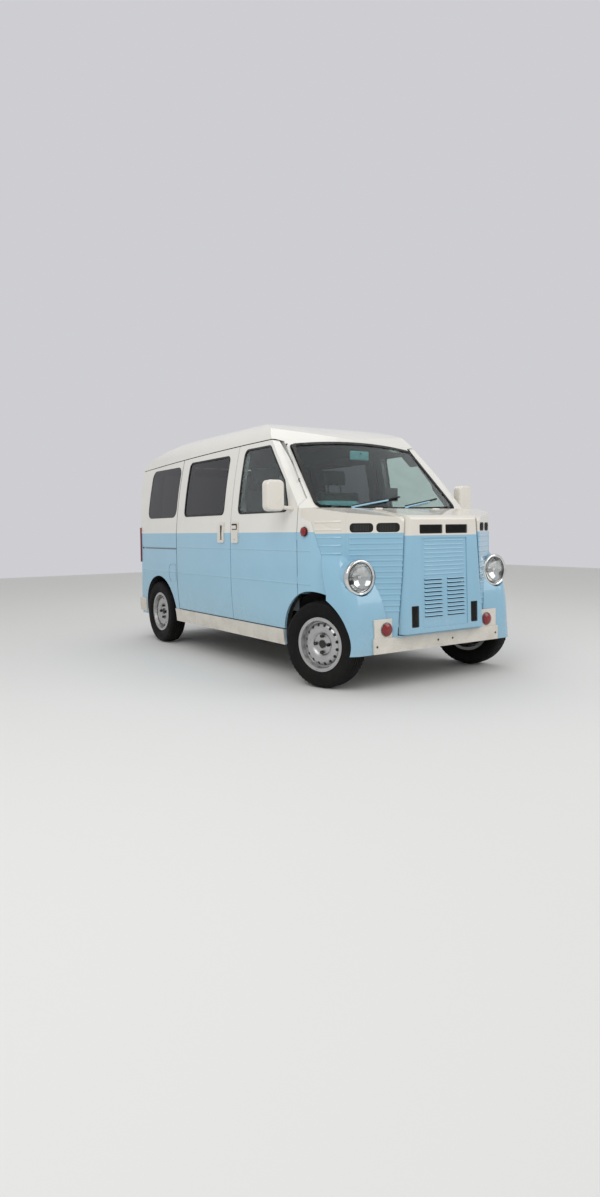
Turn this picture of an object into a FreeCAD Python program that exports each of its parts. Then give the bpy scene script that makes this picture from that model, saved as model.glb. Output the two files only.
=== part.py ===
import FreeCAD, Part
import math
import os

# A small one-box van with a ribbed retro nose, in millimetres.
# X points forward, Y to the left and Z up. The origin is on the ground, at mid-length, on the centre plane.

os.makedirs("parts", exist_ok=True)

Vector = FreeCAD.Vector

# Overall sizes
overall_length = 3360.0
overall_width = 1475.0
overall_height = 1765.0
wheelbase = 2400.0
front_overhang = 404.0
half_length = overall_length / 2
half_width = overall_width / 2
front_axle_x = half_length - front_overhang
rear_axle_x = front_axle_x - wheelbase

# Fits and clearances
seat_gap = 0.3
panel_gap = 7.0
overrun = 60.0
reach = 2500.0

# Body walls
door_thickness = 50.0
door_inner_y = 590.0
flange_gap = 6.0
flange_thickness = 20.0
side_wall = door_thickness + flange_gap + flange_thickness
flange_width = 30.0
roof_wall = 28.0
rear_wall = 50.0
nose_wall = 14.0
glass_thickness = 5.0
glass_inset = 3.0

# Body heights, from the ground
sill_bottom = 226.0
skirt_bottom = 222.0
skirt_top = 325.0
waist_z = 950.0
lower_crease_z = 620.0
window_bottom_z = 1088.0
drip_front_z = 1590.0
drip_mid_z = 1586.0
drip_rear_z = 1524.0

# Half widths of the body at those heights
half_width_sill = 704.0
half_width_tuck = 727.0
half_width_pane = 704.0
half_width_drip = 642.0
half_width_roof_side = 604.0
half_width_roof = 485.0

# Roof, seen from the side
roof_side_z = 1675.0
roof_edge_z = 1745.0
roof_rear_z = 1642.0
roof_mid_z = 1742.0
brow_z = 1685.0
brow_top_z = 1757.0
rear_face_x = -1648.0
rear_waist_x = -1638.0
rear_drip_x = -1580.0
rear_brow_x = -1497.0
roof_rear_x = -1335.0
roof_mid_x = -700.0
roof_peak_x = 88.0
brow_top_x = 300.0
brow_x = 590.0
header_x = 800.0
header_z = 1590.0

# Plan of the body
rear_crown = 52.0
rear_corner = 190.0
nose_turn_x = 1150.0
nose_bend_x = 1326.0
nose_bend_y = 704.5
nose_fold_x = 1478.0
nose_fold_y = 610.0
panel_front_x = 1648.0
panel_front_y = 335.0

# Windscreen: a cone between a low and a high arc
screen_low_z = 1095.0
screen_high_z = 1590.0
screen_low_x = 1270.0
screen_high_x = 790.0
screen_low_bow = 88.0
screen_high_bow = 72.0
screen_bow_y = 600.0
screen_low_half = 612.0
screen_high_half = 545.0
screen_low_corner_z = 1108.0
screen_high_corner_z = 1560.0
screen_corner_radius = 38.0

# Doors
door_front_x = 1115.0
door_rear_x = 248.0
door_bottom_z = 331.0
door_top_z = 1600.0
pillar_top_x = 667.0
pillar_high_x = 704.0
pillar_high_z = 1576.0
pillar_low_z = 1172.0
pillar_low_x = 1090.0
sliding_front_x = door_rear_x - panel_gap
sliding_rear_x = -690.0
window_radius = 45.0
door_window_rear_x = 340.0
door_window_top_z = 1552.0
door_window_top_x = 687.0
door_window_mid_x = 938.0
door_window_mid_z = 1295.0
door_window_low_x = 1020.0
sliding_window_front_x = 130.0
sliding_window_rear_x = -560.0
sliding_window_top_z = 1530.0
quarter_front_x = -714.0
quarter_rear_x = -1318.0
quarter_top_z = 1512.0
quarter_radius = 70.0

# Tailgate, seen from behind
tailgate_half = 560.0
tailgate_top_half = 530.0
tailgate_bottom_z = 385.0
tailgate_top_z = 1572.0
tailgate_radius = 30.0
tailgate_window_half = 490.0
tailgate_window_top_half = 450.0
tailgate_window_top_z = 1515.0

# Wheels and arches
tyre_radius = 268.0
tyre_width = 147.0
tyre_tread_half = 42.0
tyre_shoulder_half = 62.0
tyre_bulge_radius = 215.0
rim_flange_radius = 167.5
rim_width = 114.0
bead_radius = 152.0
front_track = 1305.0
rear_track = 1295.0
front_arch_x = 1255.0
front_arch_z = 262.0
front_arch_radius = 330.0
rear_arch_x = -1075.0
rear_arch_z = 270.0
rear_arch_radius = 318.0
front_tunnel_y = 436.0
rear_tunnel_y = 540.0
photo_steer_deg = 16.6
kingpin_y = 600.0
kingpin_lean_deg = 11.0

# Windscreen pillars and cowl
pillar_low_y = 714.0
pillar_high_y = 634.0
corner_share = 0.75
cowl_rear_z = screen_low_corner_z
cowl_front_z = 1046.0
cowl_rear_x = 1268.0
nose_top_radius = 30.0
seam_top_x = 1262.0
seam_top_z = 1020.0
seam_low_x = 1418.0
seam_low_z = 575.0
bumper_shelf_x = 1572.0

# Wings of the nose: outline points at four heights
wing_rear_x = 1200.0
wing_low_z = 226.0
wing_mid_z = 440.0
wing_lamp_z = 684.5
wing_top_z = 815.0
wing_low_side_y = 713.5
wing_low_bend_x = 1450.0
wing_low_bend_y = 720.0
wing_low_corner_x = 1584.0
wing_low_corner_y = 686.0
wing_low_round_x = 1605.0
wing_low_round_y = 650.0
wing_low_front_x = 1612.0
wing_low_front_y = 590.0
wing_low_inner_y = 352.0
wing_mid_side_y = 731.5
wing_mid_bend_x = 1420.0
wing_mid_bend_y = 731.0
wing_mid_corner_x = 1552.0
wing_mid_corner_y = 692.0
wing_mid_round_x = 1590.0
wing_mid_round_y = 655.0
wing_mid_front_x = 1602.0
wing_mid_front_y = 590.0
wing_mid_inner_y = 420.0
wing_lamp_side_y = 736.5
wing_lamp_bend_x = 1380.0
wing_lamp_bend_y = 729.0
wing_lamp_corner_x = 1494.0
wing_lamp_corner_y = 688.0
wing_lamp_round_x = 1530.0
wing_lamp_round_y = 656.0
wing_lamp_front_x = 1542.0
wing_lamp_front_y = 605.0
wing_lamp_inner_y = 480.0
wing_top_side_y = 735.5
wing_top_bend_x = 1324.0
wing_top_bend_y = 704.0
wing_top_corner_x = 1424.0
wing_top_corner_y = 652.0
wing_top_round_x = 1452.0
wing_top_round_y = 636.0
wing_top_front_x = 1462.0
wing_top_front_y = 618.0
wing_top_inner_y = 560.0

# Ribs pressed in the nose
nose_bead_radius = 9.0
bead_rise = 3.5
bead_pitch = 34.0
bead_count = 14
bead_low_z = 478.0
bead_end_margin = 14.0
side_bead_pitch = 48.0
side_bead_count = 7
side_bead_low_z = 730.0
side_bead_deg = 21.0
side_bead_start_deg = 16.5

# Nose lid with its grille
lid_bottom_z = 335.0
lid_low_half = 352.0
lid_top_half = 303.0
lid_low_x = 1680.0
lid_top_x = 1664.0
lid_top_z = 1054.0
lid_rear_x = 1338.0
lid_rear_z = 1102.0
lid_edge = 40.0
lid_wall = 14.0
lid_depth = 46.0
grille_half = 195.0
grille_low_z = 364.0
grille_high_z = 914.0
grille_recess = 5.0
grille_rib_count = 9
grille_rib_pitch = 26.0
grille_rib_low_z = 690.0
grille_rib_radius = 6.5
louvre_count = 10
louvre_pitch = 25.0
louvre_low_z = 431.0
louvre_inner_y = 22.0
louvre_outer_y = 171.0
louvre_slot = 7.0
louvre_hood = 7.0
intake_y = 253.0
intake_width = 62.0
intake_low_z = 372.0
intake_high_z = 503.0
vent_low_z = 940.0
vent_high_z = 996.0
vent_inner_y = 12.0
vent_outer_y = 206.0
vent_depth = 9.0
vent_radius = 8.0
corner_vent_low_z = 952.0
corner_vent_high_z = 1008.0
corner_vent_radius = 22.0
corner_vent_length = 142.0
corner_vent_first = 10.0
corner_vent_second = 170.0
mesh_bar = 3.0
mesh_pitch = 9.5
mesh_thickness = 3.0

# Lamps
headlight_y = 580.0
headlight_z = 684.5
headlight_x = 1554.0
headlight_ring_radius = 110.0
headlight_lens_radius = 86.0
pod_radius = 107.0
pod_bore = 92.0
turn_lamp_y = 432.0
turn_lamp_z = 370.0
turn_lamp_radius = 38.0
turn_lamp_proud = 20.0
lamp_box_inner_y = 350.0
lamp_box_outer_y = 523.0
lamp_box_top_z = 433.0
lamp_box_back = 8.0
repeater_x = 1204.0
repeater_z = 961.0
repeater_radius = 28.0
repeater_proud = 14.0
tail_lamp_low_z = 700.0
tail_lamp_high_z = 1010.0
tail_lamp_inner_y = 590.0

# Bumpers
bumper_face_x = 1624.0
bumper_half = 534.0
bumper_low_z = 228.0
bumper_high_z = 319.0
bumper_wall = 12.0
bumper_end_hole_y = 510.0
bumper_end_hole_z = 272.0
plate_hole_pitch = 126.0
plate_hole_y = 49.0
plate_hole_radius = 4.0
plate_hole_z = 272.0
rear_bumper_low_z = 250.0
rear_bumper_high_z = 372.0

# Mirrors, handles and fuel lid
mirror_x = 1018.0
mirror_y = 842.0
mirror_low_z = 1092.0
mirror_high_z = 1290.0
mirror_width = 128.0
mirror_depth = 62.0
mirror_radius = 34.0
mirror_arm_radius = 13.0
handle_low_z = 885.0
handle_high_z = 1036.0
handle_proud = 9.0
handle_width = 92.0
door_handle_x = 318.0
sliding_handle_x = 104.0
handle_radius = 10.0

# Floor and frame
floor_thickness = 18.0
front_floor_z = 385.0
rear_floor_z = 625.0
seat_box_x = 600.0
firewall_x = 1186.0
toe_z = 540.0
toe_x = 1060.0
liner_thickness = 6.0
rail_y = 385.0
rail_width = 46.0
rail_height = 74.0
cross_width = 60.0

# Underbody
engine_low_z = 215.0
engine_high_z = 560.0
engine_front_x = 560.0
engine_rear_x = 20.0
engine_half = 190.0
gearbox_rear_x = -420.0
gearbox_radius = 88.0
shaft_z = 330.0
shaft_radius = 28.0
shaft_stub = 40.0
tank_front_x = -120.0
tank_rear_x = -640.0
tank_inner_y = 100.0
tank_outer_y = 335.0
tank_low_z = 250.0
tank_high_z = rear_floor_z - floor_thickness - seat_gap
tank_radius = 40.0
muffler_radius = 78.0
exhaust_radius = 22.0
exhaust_y = engine_half + exhaust_radius + seat_gap
exhaust_z = 262.0

# Axles and suspension
axle_radius = 34.0
diff_radius = 105.0
spindle_radius = 16.0
spindle_clearance = 0.05
kingpin_pin_radius = 9.0
strut_radius = 20.0
strut_foot_y = 548.0
strut_foot_z = 400.0
strut_top_z = 792.0
spring_radius = 53.0
spring_bore = 40.0
spring_low_z = 610.0
coil_count = 6
lower_arm_radius = 14.0
ball_joint_z = 190.0
brake_radius = 96.0
brake_thickness = 12.0
drum_width = 44.0
steer_arm_length = 120.0

# Cabin
dash_front_x = firewall_x - seat_gap
dash_rear_x = 930.0
dash_low_z = 700.0
dash_top_z = 1058.0
dash_half = 618.0
wheel_rim_radius = 180.0
wheel_rim_section = 14.0
steering_x = 800.0
steering_z = 1040.0
driver_y = -330.0
column_lean_deg = 50.0
seat_width = 460.0
seat_length = 470.0
seat_height = 120.0
seat_front_x = 640.0
seat_base_z = 690.0
back_thickness = 110.0
back_top_z = 1290.0
back_lean_deg = 14.0
headrest_width = 250.0
headrest_height = 150.0
headrest_depth = 90.0
headrest_gap = 26.0
bench_front_x = -180.0
bench_length = 440.0
bench_half = 560.0
bench_base_z = 700.0
bench_top_z = 1130.0
mirror_inside_width = 160.0
mirror_inside_height = 66.0
mirror_inside_depth = 24.0
mirror_inside_z = 1494.0

# Wipers
wiper_pivot_right = -378.0
wiper_pivot_left = 48.0
wiper_length_right = 312.0
wiper_length_left = 280.0
wiper_radius = 6.0

# Shares of lengths
bend_share = 0.293
ring_bulge_share = 0.75
dome_mid_share = 0.9
dome_share = 0.6
strut_well_share = 0.85
back_top_share = 0.6
pin_share = 0.5
fold_share = 1.3
plan_inset_share = 1.9
blade_middle_share = 0.45
blade_start_share = 0.42
blade_end_share = 0.95
quarter_share = 0.25
half_share = 0.5
three_quarter_share = 0.75

# Joins between the body panels
centre_gap = 0.15
cowl_seam_x = 1150.0
cowl_seam_z = 1050.0
firewall_top_z = cowl_rear_z - nose_wall - seat_gap
fold_radius = 12.0
pod_lip = 22.0
side_bead_radius = 10.0
skirt_proud = 10.0
rear_bumper_proud = half_length + rear_face_x
rear_bumper_front_x = -1400.0
rail_groove_z = 828.0
rail_groove_height = 12.0
rail_groove_depth = 10.0
rail_groove_rear_x = -1429.0
fuel_lid_rear_x = -856.0
fuel_lid_front_x = -712.0
fuel_lid_low_z = 550.0
fuel_lid_high_z = 700.0
fuel_lid_radius = 60.0
fuel_lid_small_radius = 20.0
groove_width = 4.0
drip_groove_depth = 12.0
pillar_back_y = 560.0

# Headlight section
headlight_depth = 60.0
headlight_lip = 12.0
headlight_step = 4.0
headlight_shoulder = 106.0
headlight_dome = 18.0
headlight_bowl = 48.0
lens_thickness = 4.0
lens_seat = 4.0
bulb_radius = 14.0
tip_flat = 3.0

# Wheel section
rim_wall = 5.0
rim_seat = 12.0
tyre_shoulder_drop = 10.0
well_half = 36.0
well_radius = 140.0
hub_face = 25.0
hub_bore = 29.0
hub_flat = 62.0
crown_rise = 14.0
crown_radius = 97.0
disc_rim_y = 22.0
disc_rim_radius = 134.0
hub_back = 20.0
vent_count = 16
vent_ring_radius = 120.0
vent_hole_radius = 10.0
stud_count = 4
stud_pitch_radius = 50.0
nut_height = 14.0
nut_radius = 9.5
spindle_cover = 8.0
spindle_end_gap = 1.0

# Suspension details
upright_half = 14.0
spring_seat_thickness = 8.0
strut_well_gap = 16.0
tower_thickness = 14.0
tower_reach = 130.0
tower_width = 70.0
steer_arm_radius = 9.0
cross_half = 300.0
cross_low_z = 190.0
cross_height = 70.0
arm_drop = 40.0
arm_spread = 90.0
pin_rise = 10.0
ball_radius = 14.0
spring_wave = 8.0
spring_gap = 0.4
rear_spring_y = 362.0
rear_arm_front_x = -440.0
drum_inner = 23.0

# Floor and frame details
floor_rear_x = -1620.0
liner_outer_y = 660.0
rear_liner_thickness = 24.0
axle_notch = 12.0
rail_low_z = front_floor_z - floor_thickness - seat_gap - rail_height
rail_front_x = 1572.0
rail_rear_x = -1562.0
kick_front_x = -420.0
kick_rear_x = -760.0
kick_offset = 20.0
cross_lift = 8.0
muffler_front_x = -500.0
muffler_rear_x = -900.0
tail_pipe_high_z = 420.0
tail_pipe_low_z = 192.0
tail_rise_x = -960.0
tail_fall_x = -1300.0
tail_low_x = -1430.0
tail_pipe_x = -1660.0
engine_mount_x = 300.0
engine_mount_z = 330.0
engine_mount_radius = 16.0

# Cabin details
dash_mid_x = 1040.0
dash_crown = 6.0
dash_lip = 60.0
dash_lip_z = 1020.0
hub_drop = 45.0
boss_radius = 32.0
column_length = 300.0
column_radius = 22.0
spoke_radius = 9.0
seat_edge = 32.0
stalk_radius = 6.0
mirror_inside_back = 70.0
mirror_stem_radius = 6.0

# Small outside details
mirror_round = 14.0
mirror_arm_shift = 40.0
mirror_foot_sink = 20.0
wiper_pivot_z = 1116.0
wiper_lift = 10.0
wiper_slope_share = 0.15
wiper_foot_z = cowl_rear_z + seat_gap
wiper_drop = 8.0
wiper_blade_lift = 7.0
tail_lamp_proud = 10.0
guide_length = 60.0
guide_inset = 20.0
guide_width = 16.0

# Hinges
notch_gap = 1.5
hinge_clearance = 0.05
door_hinge_low_z = 660.0
door_hinge_high_z = 930.0
door_hinge_length = 46.0
door_hinge_radius = 4.5
lid_hinge_y = 250.0
gate_hinge_y = 90.0
flap_hinge_length = 40.0
flap_hinge_radius = 6.0


# Drawing helpers

def place(plane, point, level=0.0):
    first, second = point
    if plane == "xz":
        return Vector(first, level, second)
    if plane == "yz":
        return Vector(level, first, second)
    return Vector(first, second, level)


def outline(plane, start, steps, level=0.0):
    """A closed wire: a step is a point for a line, or (middle, end) for an arc."""
    edges = []
    here = place(plane, start, level)
    for step in steps:
        if isinstance(step[0], tuple):
            middle = place(plane, step[0], level)
            there = place(plane, step[1], level)
            edges.append(Part.Arc(here, middle, there).toShape())
        else:
            there = place(plane, step, level)
            edges.append(Part.LineSegment(here, there).toShape())
        here = there
    first = place(plane, start, level)
    if here.distanceToPoint(first) > seat_gap / reach:
        edges.append(Part.LineSegment(here, first).toShape())
    return Part.Wire(edges)


def rounded(plane, points, radius, level=0.0):
    """A closed wire through the points, each corner rounded by radius or by its own radius in a list."""
    corners = [place(plane, point, level) for point in points]
    radii = radius if isinstance(radius, list) else [radius] * len(points)
    starts = []
    arcs = []
    for index, corner in enumerate(corners):
        before = (corners[index - 1] - corner).normalize()
        after = (corners[(index + 1) % len(corners)] - corner).normalize()
        half_angle = before.getAngle(after) / 2
        setback = radii[index] / math.tan(half_angle)
        bisector = (before + after).normalize()
        centre = corner + bisector * (radii[index] / math.sin(half_angle))
        start = corner + before * setback
        end = corner + after * setback
        starts.append((start, end))
        arcs.append(Part.Arc(start, centre - bisector * radii[index],
                             end).toShape() if radii[index] else None)
    edges = []
    for index in range(len(corners)):
        if arcs[index]:
            edges.append(arcs[index])
        end = starts[index][1]
        following = starts[(index + 1) % len(corners)][0]
        if end.distanceToPoint(following) > seat_gap / reach:
            edges.append(Part.LineSegment(end, following).toShape())
    return Part.Wire(edges)


def slab(wire, direction):
    return Part.Face(wire).extrude(direction)


def box(low, high):
    size = Vector(*high) - Vector(*low)
    return Part.makeBox(size.x, size.y, size.z, Vector(*low))


def rod(start, end, radius):
    start = Vector(*start)
    along = Vector(*end) - start
    return Part.makeCylinder(radius, along.Length, start, along)


def mirrored(shape):
    return shape.mirror(Vector(0, 0, 0), Vector(0, 1, 0))


def both_sides(shape):
    return [shape, mirrored(shape)]


def joined(shapes):
    result = shapes[0]
    if len(shapes) > 1:
        result = result.fuse(shapes[1:])
    return result.removeSplitter()


def save(name, shapes):
    shapes = shapes if isinstance(shapes, list) else [shapes]
    solids = [solid for shape in shapes for solid in shape.Solids]
    result = solids[0] if len(solids) == 1 else Part.makeCompound(solids)
    result.exportStep("parts/" + name + ".step")




def largest(shape):
    """The biggest solid of a shape, without the specks that a cut leaves behind."""
    return max(shape.Solids, key=lambda solid: solid.Volume)
# Body forms

def side_form(inset_rear, inset_roof, inset_front):
    """The body seen from the side, extruded across it."""
    wire = outline("xz", (rear_face_x + inset_rear, sill_bottom - overrun), [
        (rear_face_x + inset_rear, waist_z),
        ((rear_waist_x + inset_rear, (waist_z + drip_rear_z) / 2), (rear_drip_x + inset_rear, drip_rear_z)),
        ((rear_brow_x + inset_rear, (drip_rear_z + roof_rear_z) / 2),
         (roof_rear_x + inset_rear, roof_rear_z - inset_roof)),
        ((roof_mid_x, roof_mid_z - inset_roof), (roof_peak_x, overall_height - inset_roof)),
        (brow_top_x, brow_top_z - inset_roof),
        ((brow_x - inset_roof / 2, brow_z - inset_roof), (header_x - inset_front, header_z)),
        (panel_front_x - inset_front, (header_z + waist_z) / 2),
        (panel_front_x - inset_front, sill_bottom - overrun)], -half_width - overrun)
    return slab(wire, Vector(0, 2 * (half_width + overrun), 0))


def section_form(inset_side, inset_roof):
    """The body seen from the front, extruded along it."""
    steps = [
        (half_width_sill - inset_side, sill_bottom - overrun),
        (half_width_sill - inset_side, sill_bottom),
        ((half_width_tuck - inset_side, (sill_bottom + lower_crease_z) / 2),
         (half_width - inset_side, lower_crease_z)),
        (half_width - inset_side, waist_z),
        ((half_width_pane - inset_side, (waist_z + drip_front_z) / 2),
         (half_width_drip - inset_side, drip_front_z)),
        ((half_width_roof_side - inset_side, roof_side_z - inset_roof / 2),
         (half_width_roof - inset_side / 2, roof_edge_z - inset_roof)),
        ((0.0, overall_height - inset_roof), (-half_width_roof + inset_side / 2, roof_edge_z - inset_roof)),
        ((-half_width_roof_side + inset_side, roof_side_z - inset_roof / 2),
         (-half_width_drip + inset_side, drip_front_z)),
        ((-half_width_pane + inset_side, (waist_z + drip_front_z) / 2), (-half_width + inset_side, waist_z)),
        (-half_width + inset_side, lower_crease_z),
        ((-half_width_tuck + inset_side, (sill_bottom + lower_crease_z) / 2),
         (-half_width_sill + inset_side, sill_bottom)),
        (-half_width_sill + inset_side, sill_bottom - overrun)]
    wire = outline("yz", (-half_width_sill + inset_side, sill_bottom - overrun), steps, -half_length)
    return slab(wire, Vector(overall_length, 0, 0))


def plan_form(inset_side, inset_rear):
    """The body seen from above, extruded up."""
    side = half_width - inset_side
    corner_x = rear_face_x + rear_crown + inset_rear
    corner_y = side - rear_corner * corner_share
    turn_x = corner_x + rear_corner
    middle_x = corner_x + rear_corner * bend_share
    middle_y = side - rear_corner * corner_share * bend_share
    wire = outline("xy", (turn_x, -side), [
        (nose_turn_x, -side),
        ((nose_bend_x, -nose_bend_y + inset_side), (nose_fold_x, -nose_fold_y + inset_side)),
        (panel_front_x, -panel_front_y + inset_side),
        (panel_front_x, panel_front_y - inset_side),
        (nose_fold_x, nose_fold_y - inset_side),
        ((nose_bend_x, nose_bend_y - inset_side), (nose_turn_x, side)),
        (turn_x, side),
        ((middle_x, middle_y), (corner_x, corner_y)),
        ((rear_face_x + inset_rear, 0.0), (corner_x, -corner_y)),
        ((middle_x, -middle_y), (turn_x, -side))], sill_bottom - overrun)
    return slab(wire, Vector(0, 0, overall_height + overrun))


def screen_x(height, side):
    """Where the outside of the windscreen's cone lies at a height and a distance from the centre plane."""
    share = (height - screen_low_z) / (screen_high_z - screen_low_z)
    centre = screen_low_x + (screen_high_x - screen_low_x) * share
    bow = screen_low_bow + (screen_high_bow - screen_low_bow) * share
    return centre - bow * (side / screen_bow_y) ** 2


def screen_layer(near, far, low, high):
    """The space between two copies of the windscreen's cone, shifted along X."""
    wires = []
    side = half_width + overrun
    for height in (low, high):
        centre = screen_x(height, 0.0)
        edge = screen_x(height, side)
        wires.append(outline("xy", (edge + near, -side), [
            ((centre + near, 0.0), (edge + near, side)),
            (edge + far, side),
            ((centre + far, 0.0), (edge + far, -side))], height))
    return Part.makeLoft(wires, True, True)


def pillar_bevel(inset):
    """What the flat face of the right windscreen pillar cuts away, between door and glass."""
    low_door = Vector(pillar_low_x, -pillar_low_y, pillar_low_z)
    high_door = Vector(pillar_high_x, -pillar_high_y, pillar_high_z)
    low_glass = Vector(screen_x(screen_low_corner_z, screen_low_half), -screen_low_half, screen_low_corner_z)
    normal = (high_door - low_door).cross(low_glass - low_door).normalize()
    if normal.x < 0:
        normal = normal * -1
    size = half_length
    block = Part.makeBox(2 * size, 2 * size, size, Vector(-size, -size, 0))
    block.Placement = FreeCAD.Placement(low_door - normal * inset, FreeCAD.Rotation(Vector(0, 0, 1), normal))
    return block


def body_form(inset_side=0.0, inset_roof=0.0, inset_rear=0.0, inset_front=0.0):
    form = side_form(inset_rear, inset_roof, inset_front)
    form = form.common(section_form(inset_side, inset_roof))
    form = form.common(plan_form(inset_side, inset_rear))
    above_cowl = box((0.0, -half_width - overrun, cowl_rear_z), (reach, half_width + overrun, overall_height))
    clear = screen_layer(-inset_front, reach, waist_z, overall_height)
    bevel = pillar_bevel(inset_side).common(above_cowl)
    form = form.cut(clear.common(above_cowl))
    return form.cut([bevel, mirrored(bevel)])


def under_drip(drop):
    """Everything below the drip line, which runs up and forward along the roof's edge."""
    wire = outline("xz", (-half_length - overrun, drip_rear_z - drop), [
        ((-overrun, drip_mid_z - drop), (half_length, drip_front_z - drop)),
        (half_length, 0.0),
        (-half_length - overrun, 0.0)], -half_width - overrun)
    return slab(wire, Vector(0, 2 * (half_width + overrun), 0))


def side_prism(points, radius, growth=0.0):
    """A side outline, cut through the right wall of the body."""
    face = Part.Face(rounded("xz", points, radius, -half_width - overrun))
    if growth:
        face = face.makeOffset2D(growth)
    return face.extrude(Vector(0, half_width, 0))


def front_prism(points, radius, start, length, growth=0.0):
    """An outline in the front view, cut along X."""
    face = Part.Face(rounded("yz", points, radius, start))
    if growth:
        face = face.makeOffset2D(growth)
    return face.extrude(Vector(length, 0, 0))


def front_tunnels(extra=0.0):
    """The space that the front wheels turn in, on the right."""
    wheel = rod((front_arch_x, -half_width - overrun, front_arch_z),
                (front_arch_x, -front_tunnel_y + extra, front_arch_z), front_arch_radius + extra)
    return wheel


def rear_tunnels(extra=0.0):
    wheel = rod((rear_arch_x, -half_width - overrun, rear_arch_z),
                (rear_arch_x, -rear_tunnel_y + extra, rear_arch_z), rear_arch_radius + extra)
    return wheel


def kingpin_point(height):
    """A point on the right front steering axis."""
    lean = math.tan(math.radians(kingpin_lean_deg))
    return Vector(front_axle_x, -kingpin_y + (height - tyre_radius) * lean, height)


def strut_well(extra=0.0):
    return rod(kingpin_point(front_arch_z + front_arch_radius * strut_well_share), kingpin_point(strut_top_z),
               spring_radius + strut_well_gap + extra)


# Outlines of doors and windows, seen from the right

def front_door_points():
    return [(door_rear_x, door_bottom_z), (door_rear_x, door_top_z + overrun),
            (pillar_top_x - overrun, door_top_z + overrun), (pillar_top_x, door_top_z),
            (pillar_high_x, pillar_high_z), (pillar_low_x, pillar_low_z),
            (door_front_x, pillar_low_z - overrun), (door_front_x, door_bottom_z)]


def sliding_door_points():
    return [(sliding_rear_x, door_bottom_z), (sliding_rear_x, door_top_z + overrun),
            (sliding_front_x, door_top_z + overrun), (sliding_front_x, door_bottom_z)]


def front_window_points():
    return [(door_window_rear_x, window_bottom_z), (door_window_rear_x, door_window_top_z),
            (door_window_top_x, door_window_top_z), (door_window_mid_x, door_window_mid_z),
            (door_window_low_x, window_bottom_z)]


def sliding_window_points():
    return [(sliding_window_rear_x, window_bottom_z), (sliding_window_rear_x, sliding_window_top_z),
            (sliding_window_front_x, sliding_window_top_z), (sliding_window_front_x, window_bottom_z)]


def quarter_window_points():
    return [(quarter_rear_x, window_bottom_z), (quarter_rear_x, quarter_top_z),
            (quarter_front_x, quarter_top_z), (quarter_front_x, window_bottom_z)]


def tailgate_points():
    return [(-tailgate_half, tailgate_bottom_z), (-tailgate_half, waist_z),
            (-tailgate_top_half, tailgate_top_z),
            (tailgate_top_half, tailgate_top_z), (tailgate_half, waist_z), (tailgate_half, tailgate_bottom_z)]


def tailgate_window_points():
    return [(-tailgate_window_half, window_bottom_z), (-tailgate_window_top_half, tailgate_window_top_z),
            (tailgate_window_top_half, tailgate_window_top_z), (tailgate_window_half, window_bottom_z)]


def screen_prism(shrink=0.0):
    """The windscreen's outline in the front view, with bowed top and bottom edges."""
    low = screen_low_half - shrink
    high = screen_high_half - shrink
    low_z = screen_low_corner_z + shrink
    high_z = screen_high_corner_z - shrink
    r = screen_corner_radius
    wire = outline("yz", (-low + r, low_z), [
        ((0.0, screen_low_z + shrink), (low - r, low_z)),
        ((low - r * bend_share, low_z + r * bend_share), (low, low_z + r)),
        (high, high_z - r),
        ((high - r * bend_share, high_z - r * bend_share), (high - r, high_z)),
        ((0.0, screen_high_z - shrink), (-high + r, high_z)),
        ((-high + r * bend_share, high_z - r * bend_share), (-high, high_z - r)),
        (-low, low_z + r),
        ((-low + r * bend_share, low_z + r * bend_share), (-low + r, low_z))], header_x - overall_height / 4)
    return slab(wire, Vector(half_length, 0, 0))


# Roof, sides and doors

def make_shells():
    """The hollow body: its outside, and the insides of doors, side walls and roof."""
    outer = body_form()
    door_back = body_form(door_thickness, roof_wall, door_thickness, roof_wall)
    flange_back = body_form(door_thickness + flange_gap, roof_wall, door_thickness + flange_gap, roof_wall)
    inner = body_form(side_wall, roof_wall, rear_wall, roof_wall)
    return outer, door_back, flange_back, inner


def right_half(low=0.0, high=None):
    top = overall_height + overrun if high is None else high
    return box((-half_length - overrun, -half_width - overrun, low), (half_length + overrun, 0.0, top))


def gate_prism(growth=0.0):
    return front_prism(tailgate_points(), tailgate_radius, -half_length - overrun, half_length / 2, growth)


def make_roof(outer, inner):
    """The roof above the drip lines, with the header over the windscreen."""
    shell = outer.cut(inner)
    roof = shell.cut(under_drip(0.0))
    header = shell.common(header_zone()).common(under_drip(0.0))
    roof = joined([roof, header])
    return roof.cut([screen_prism(-seat_gap), gate_prism(panel_gap)])


def door_solid(outer, back, points, radius, window, window_corner):
    """One door leaf of full thickness with its window cut."""
    leaf = outer.cut(back).common(side_prism(points, radius))
    leaf = leaf.common(under_drip(panel_gap))
    leaf = leaf.common(box((-half_length, -half_width - overrun, 0.0),
                           (half_length, -door_inner_y, overall_height)))
    return leaf.cut([side_prism(window, window_corner), front_tunnels(), rear_tunnels()])


def make_glass_layer():
    """A thin layer just inside the body's outer face, which every side and rear pane is cut from."""
    depth = glass_inset + glass_thickness
    layer = body_form(glass_inset, roof_wall, glass_inset, roof_wall)
    return layer.cut(body_form(depth, roof_wall, depth, roof_wall))


def header_zone():
    """Above the windscreen's top edge and between its rounded corners, where the roof meets the glass."""
    side = screen_high_half - screen_corner_radius
    return box((pillar_high_x - overrun, -side, screen_high_corner_z - screen_corner_radius),
               (half_length, side, overall_height))


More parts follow.
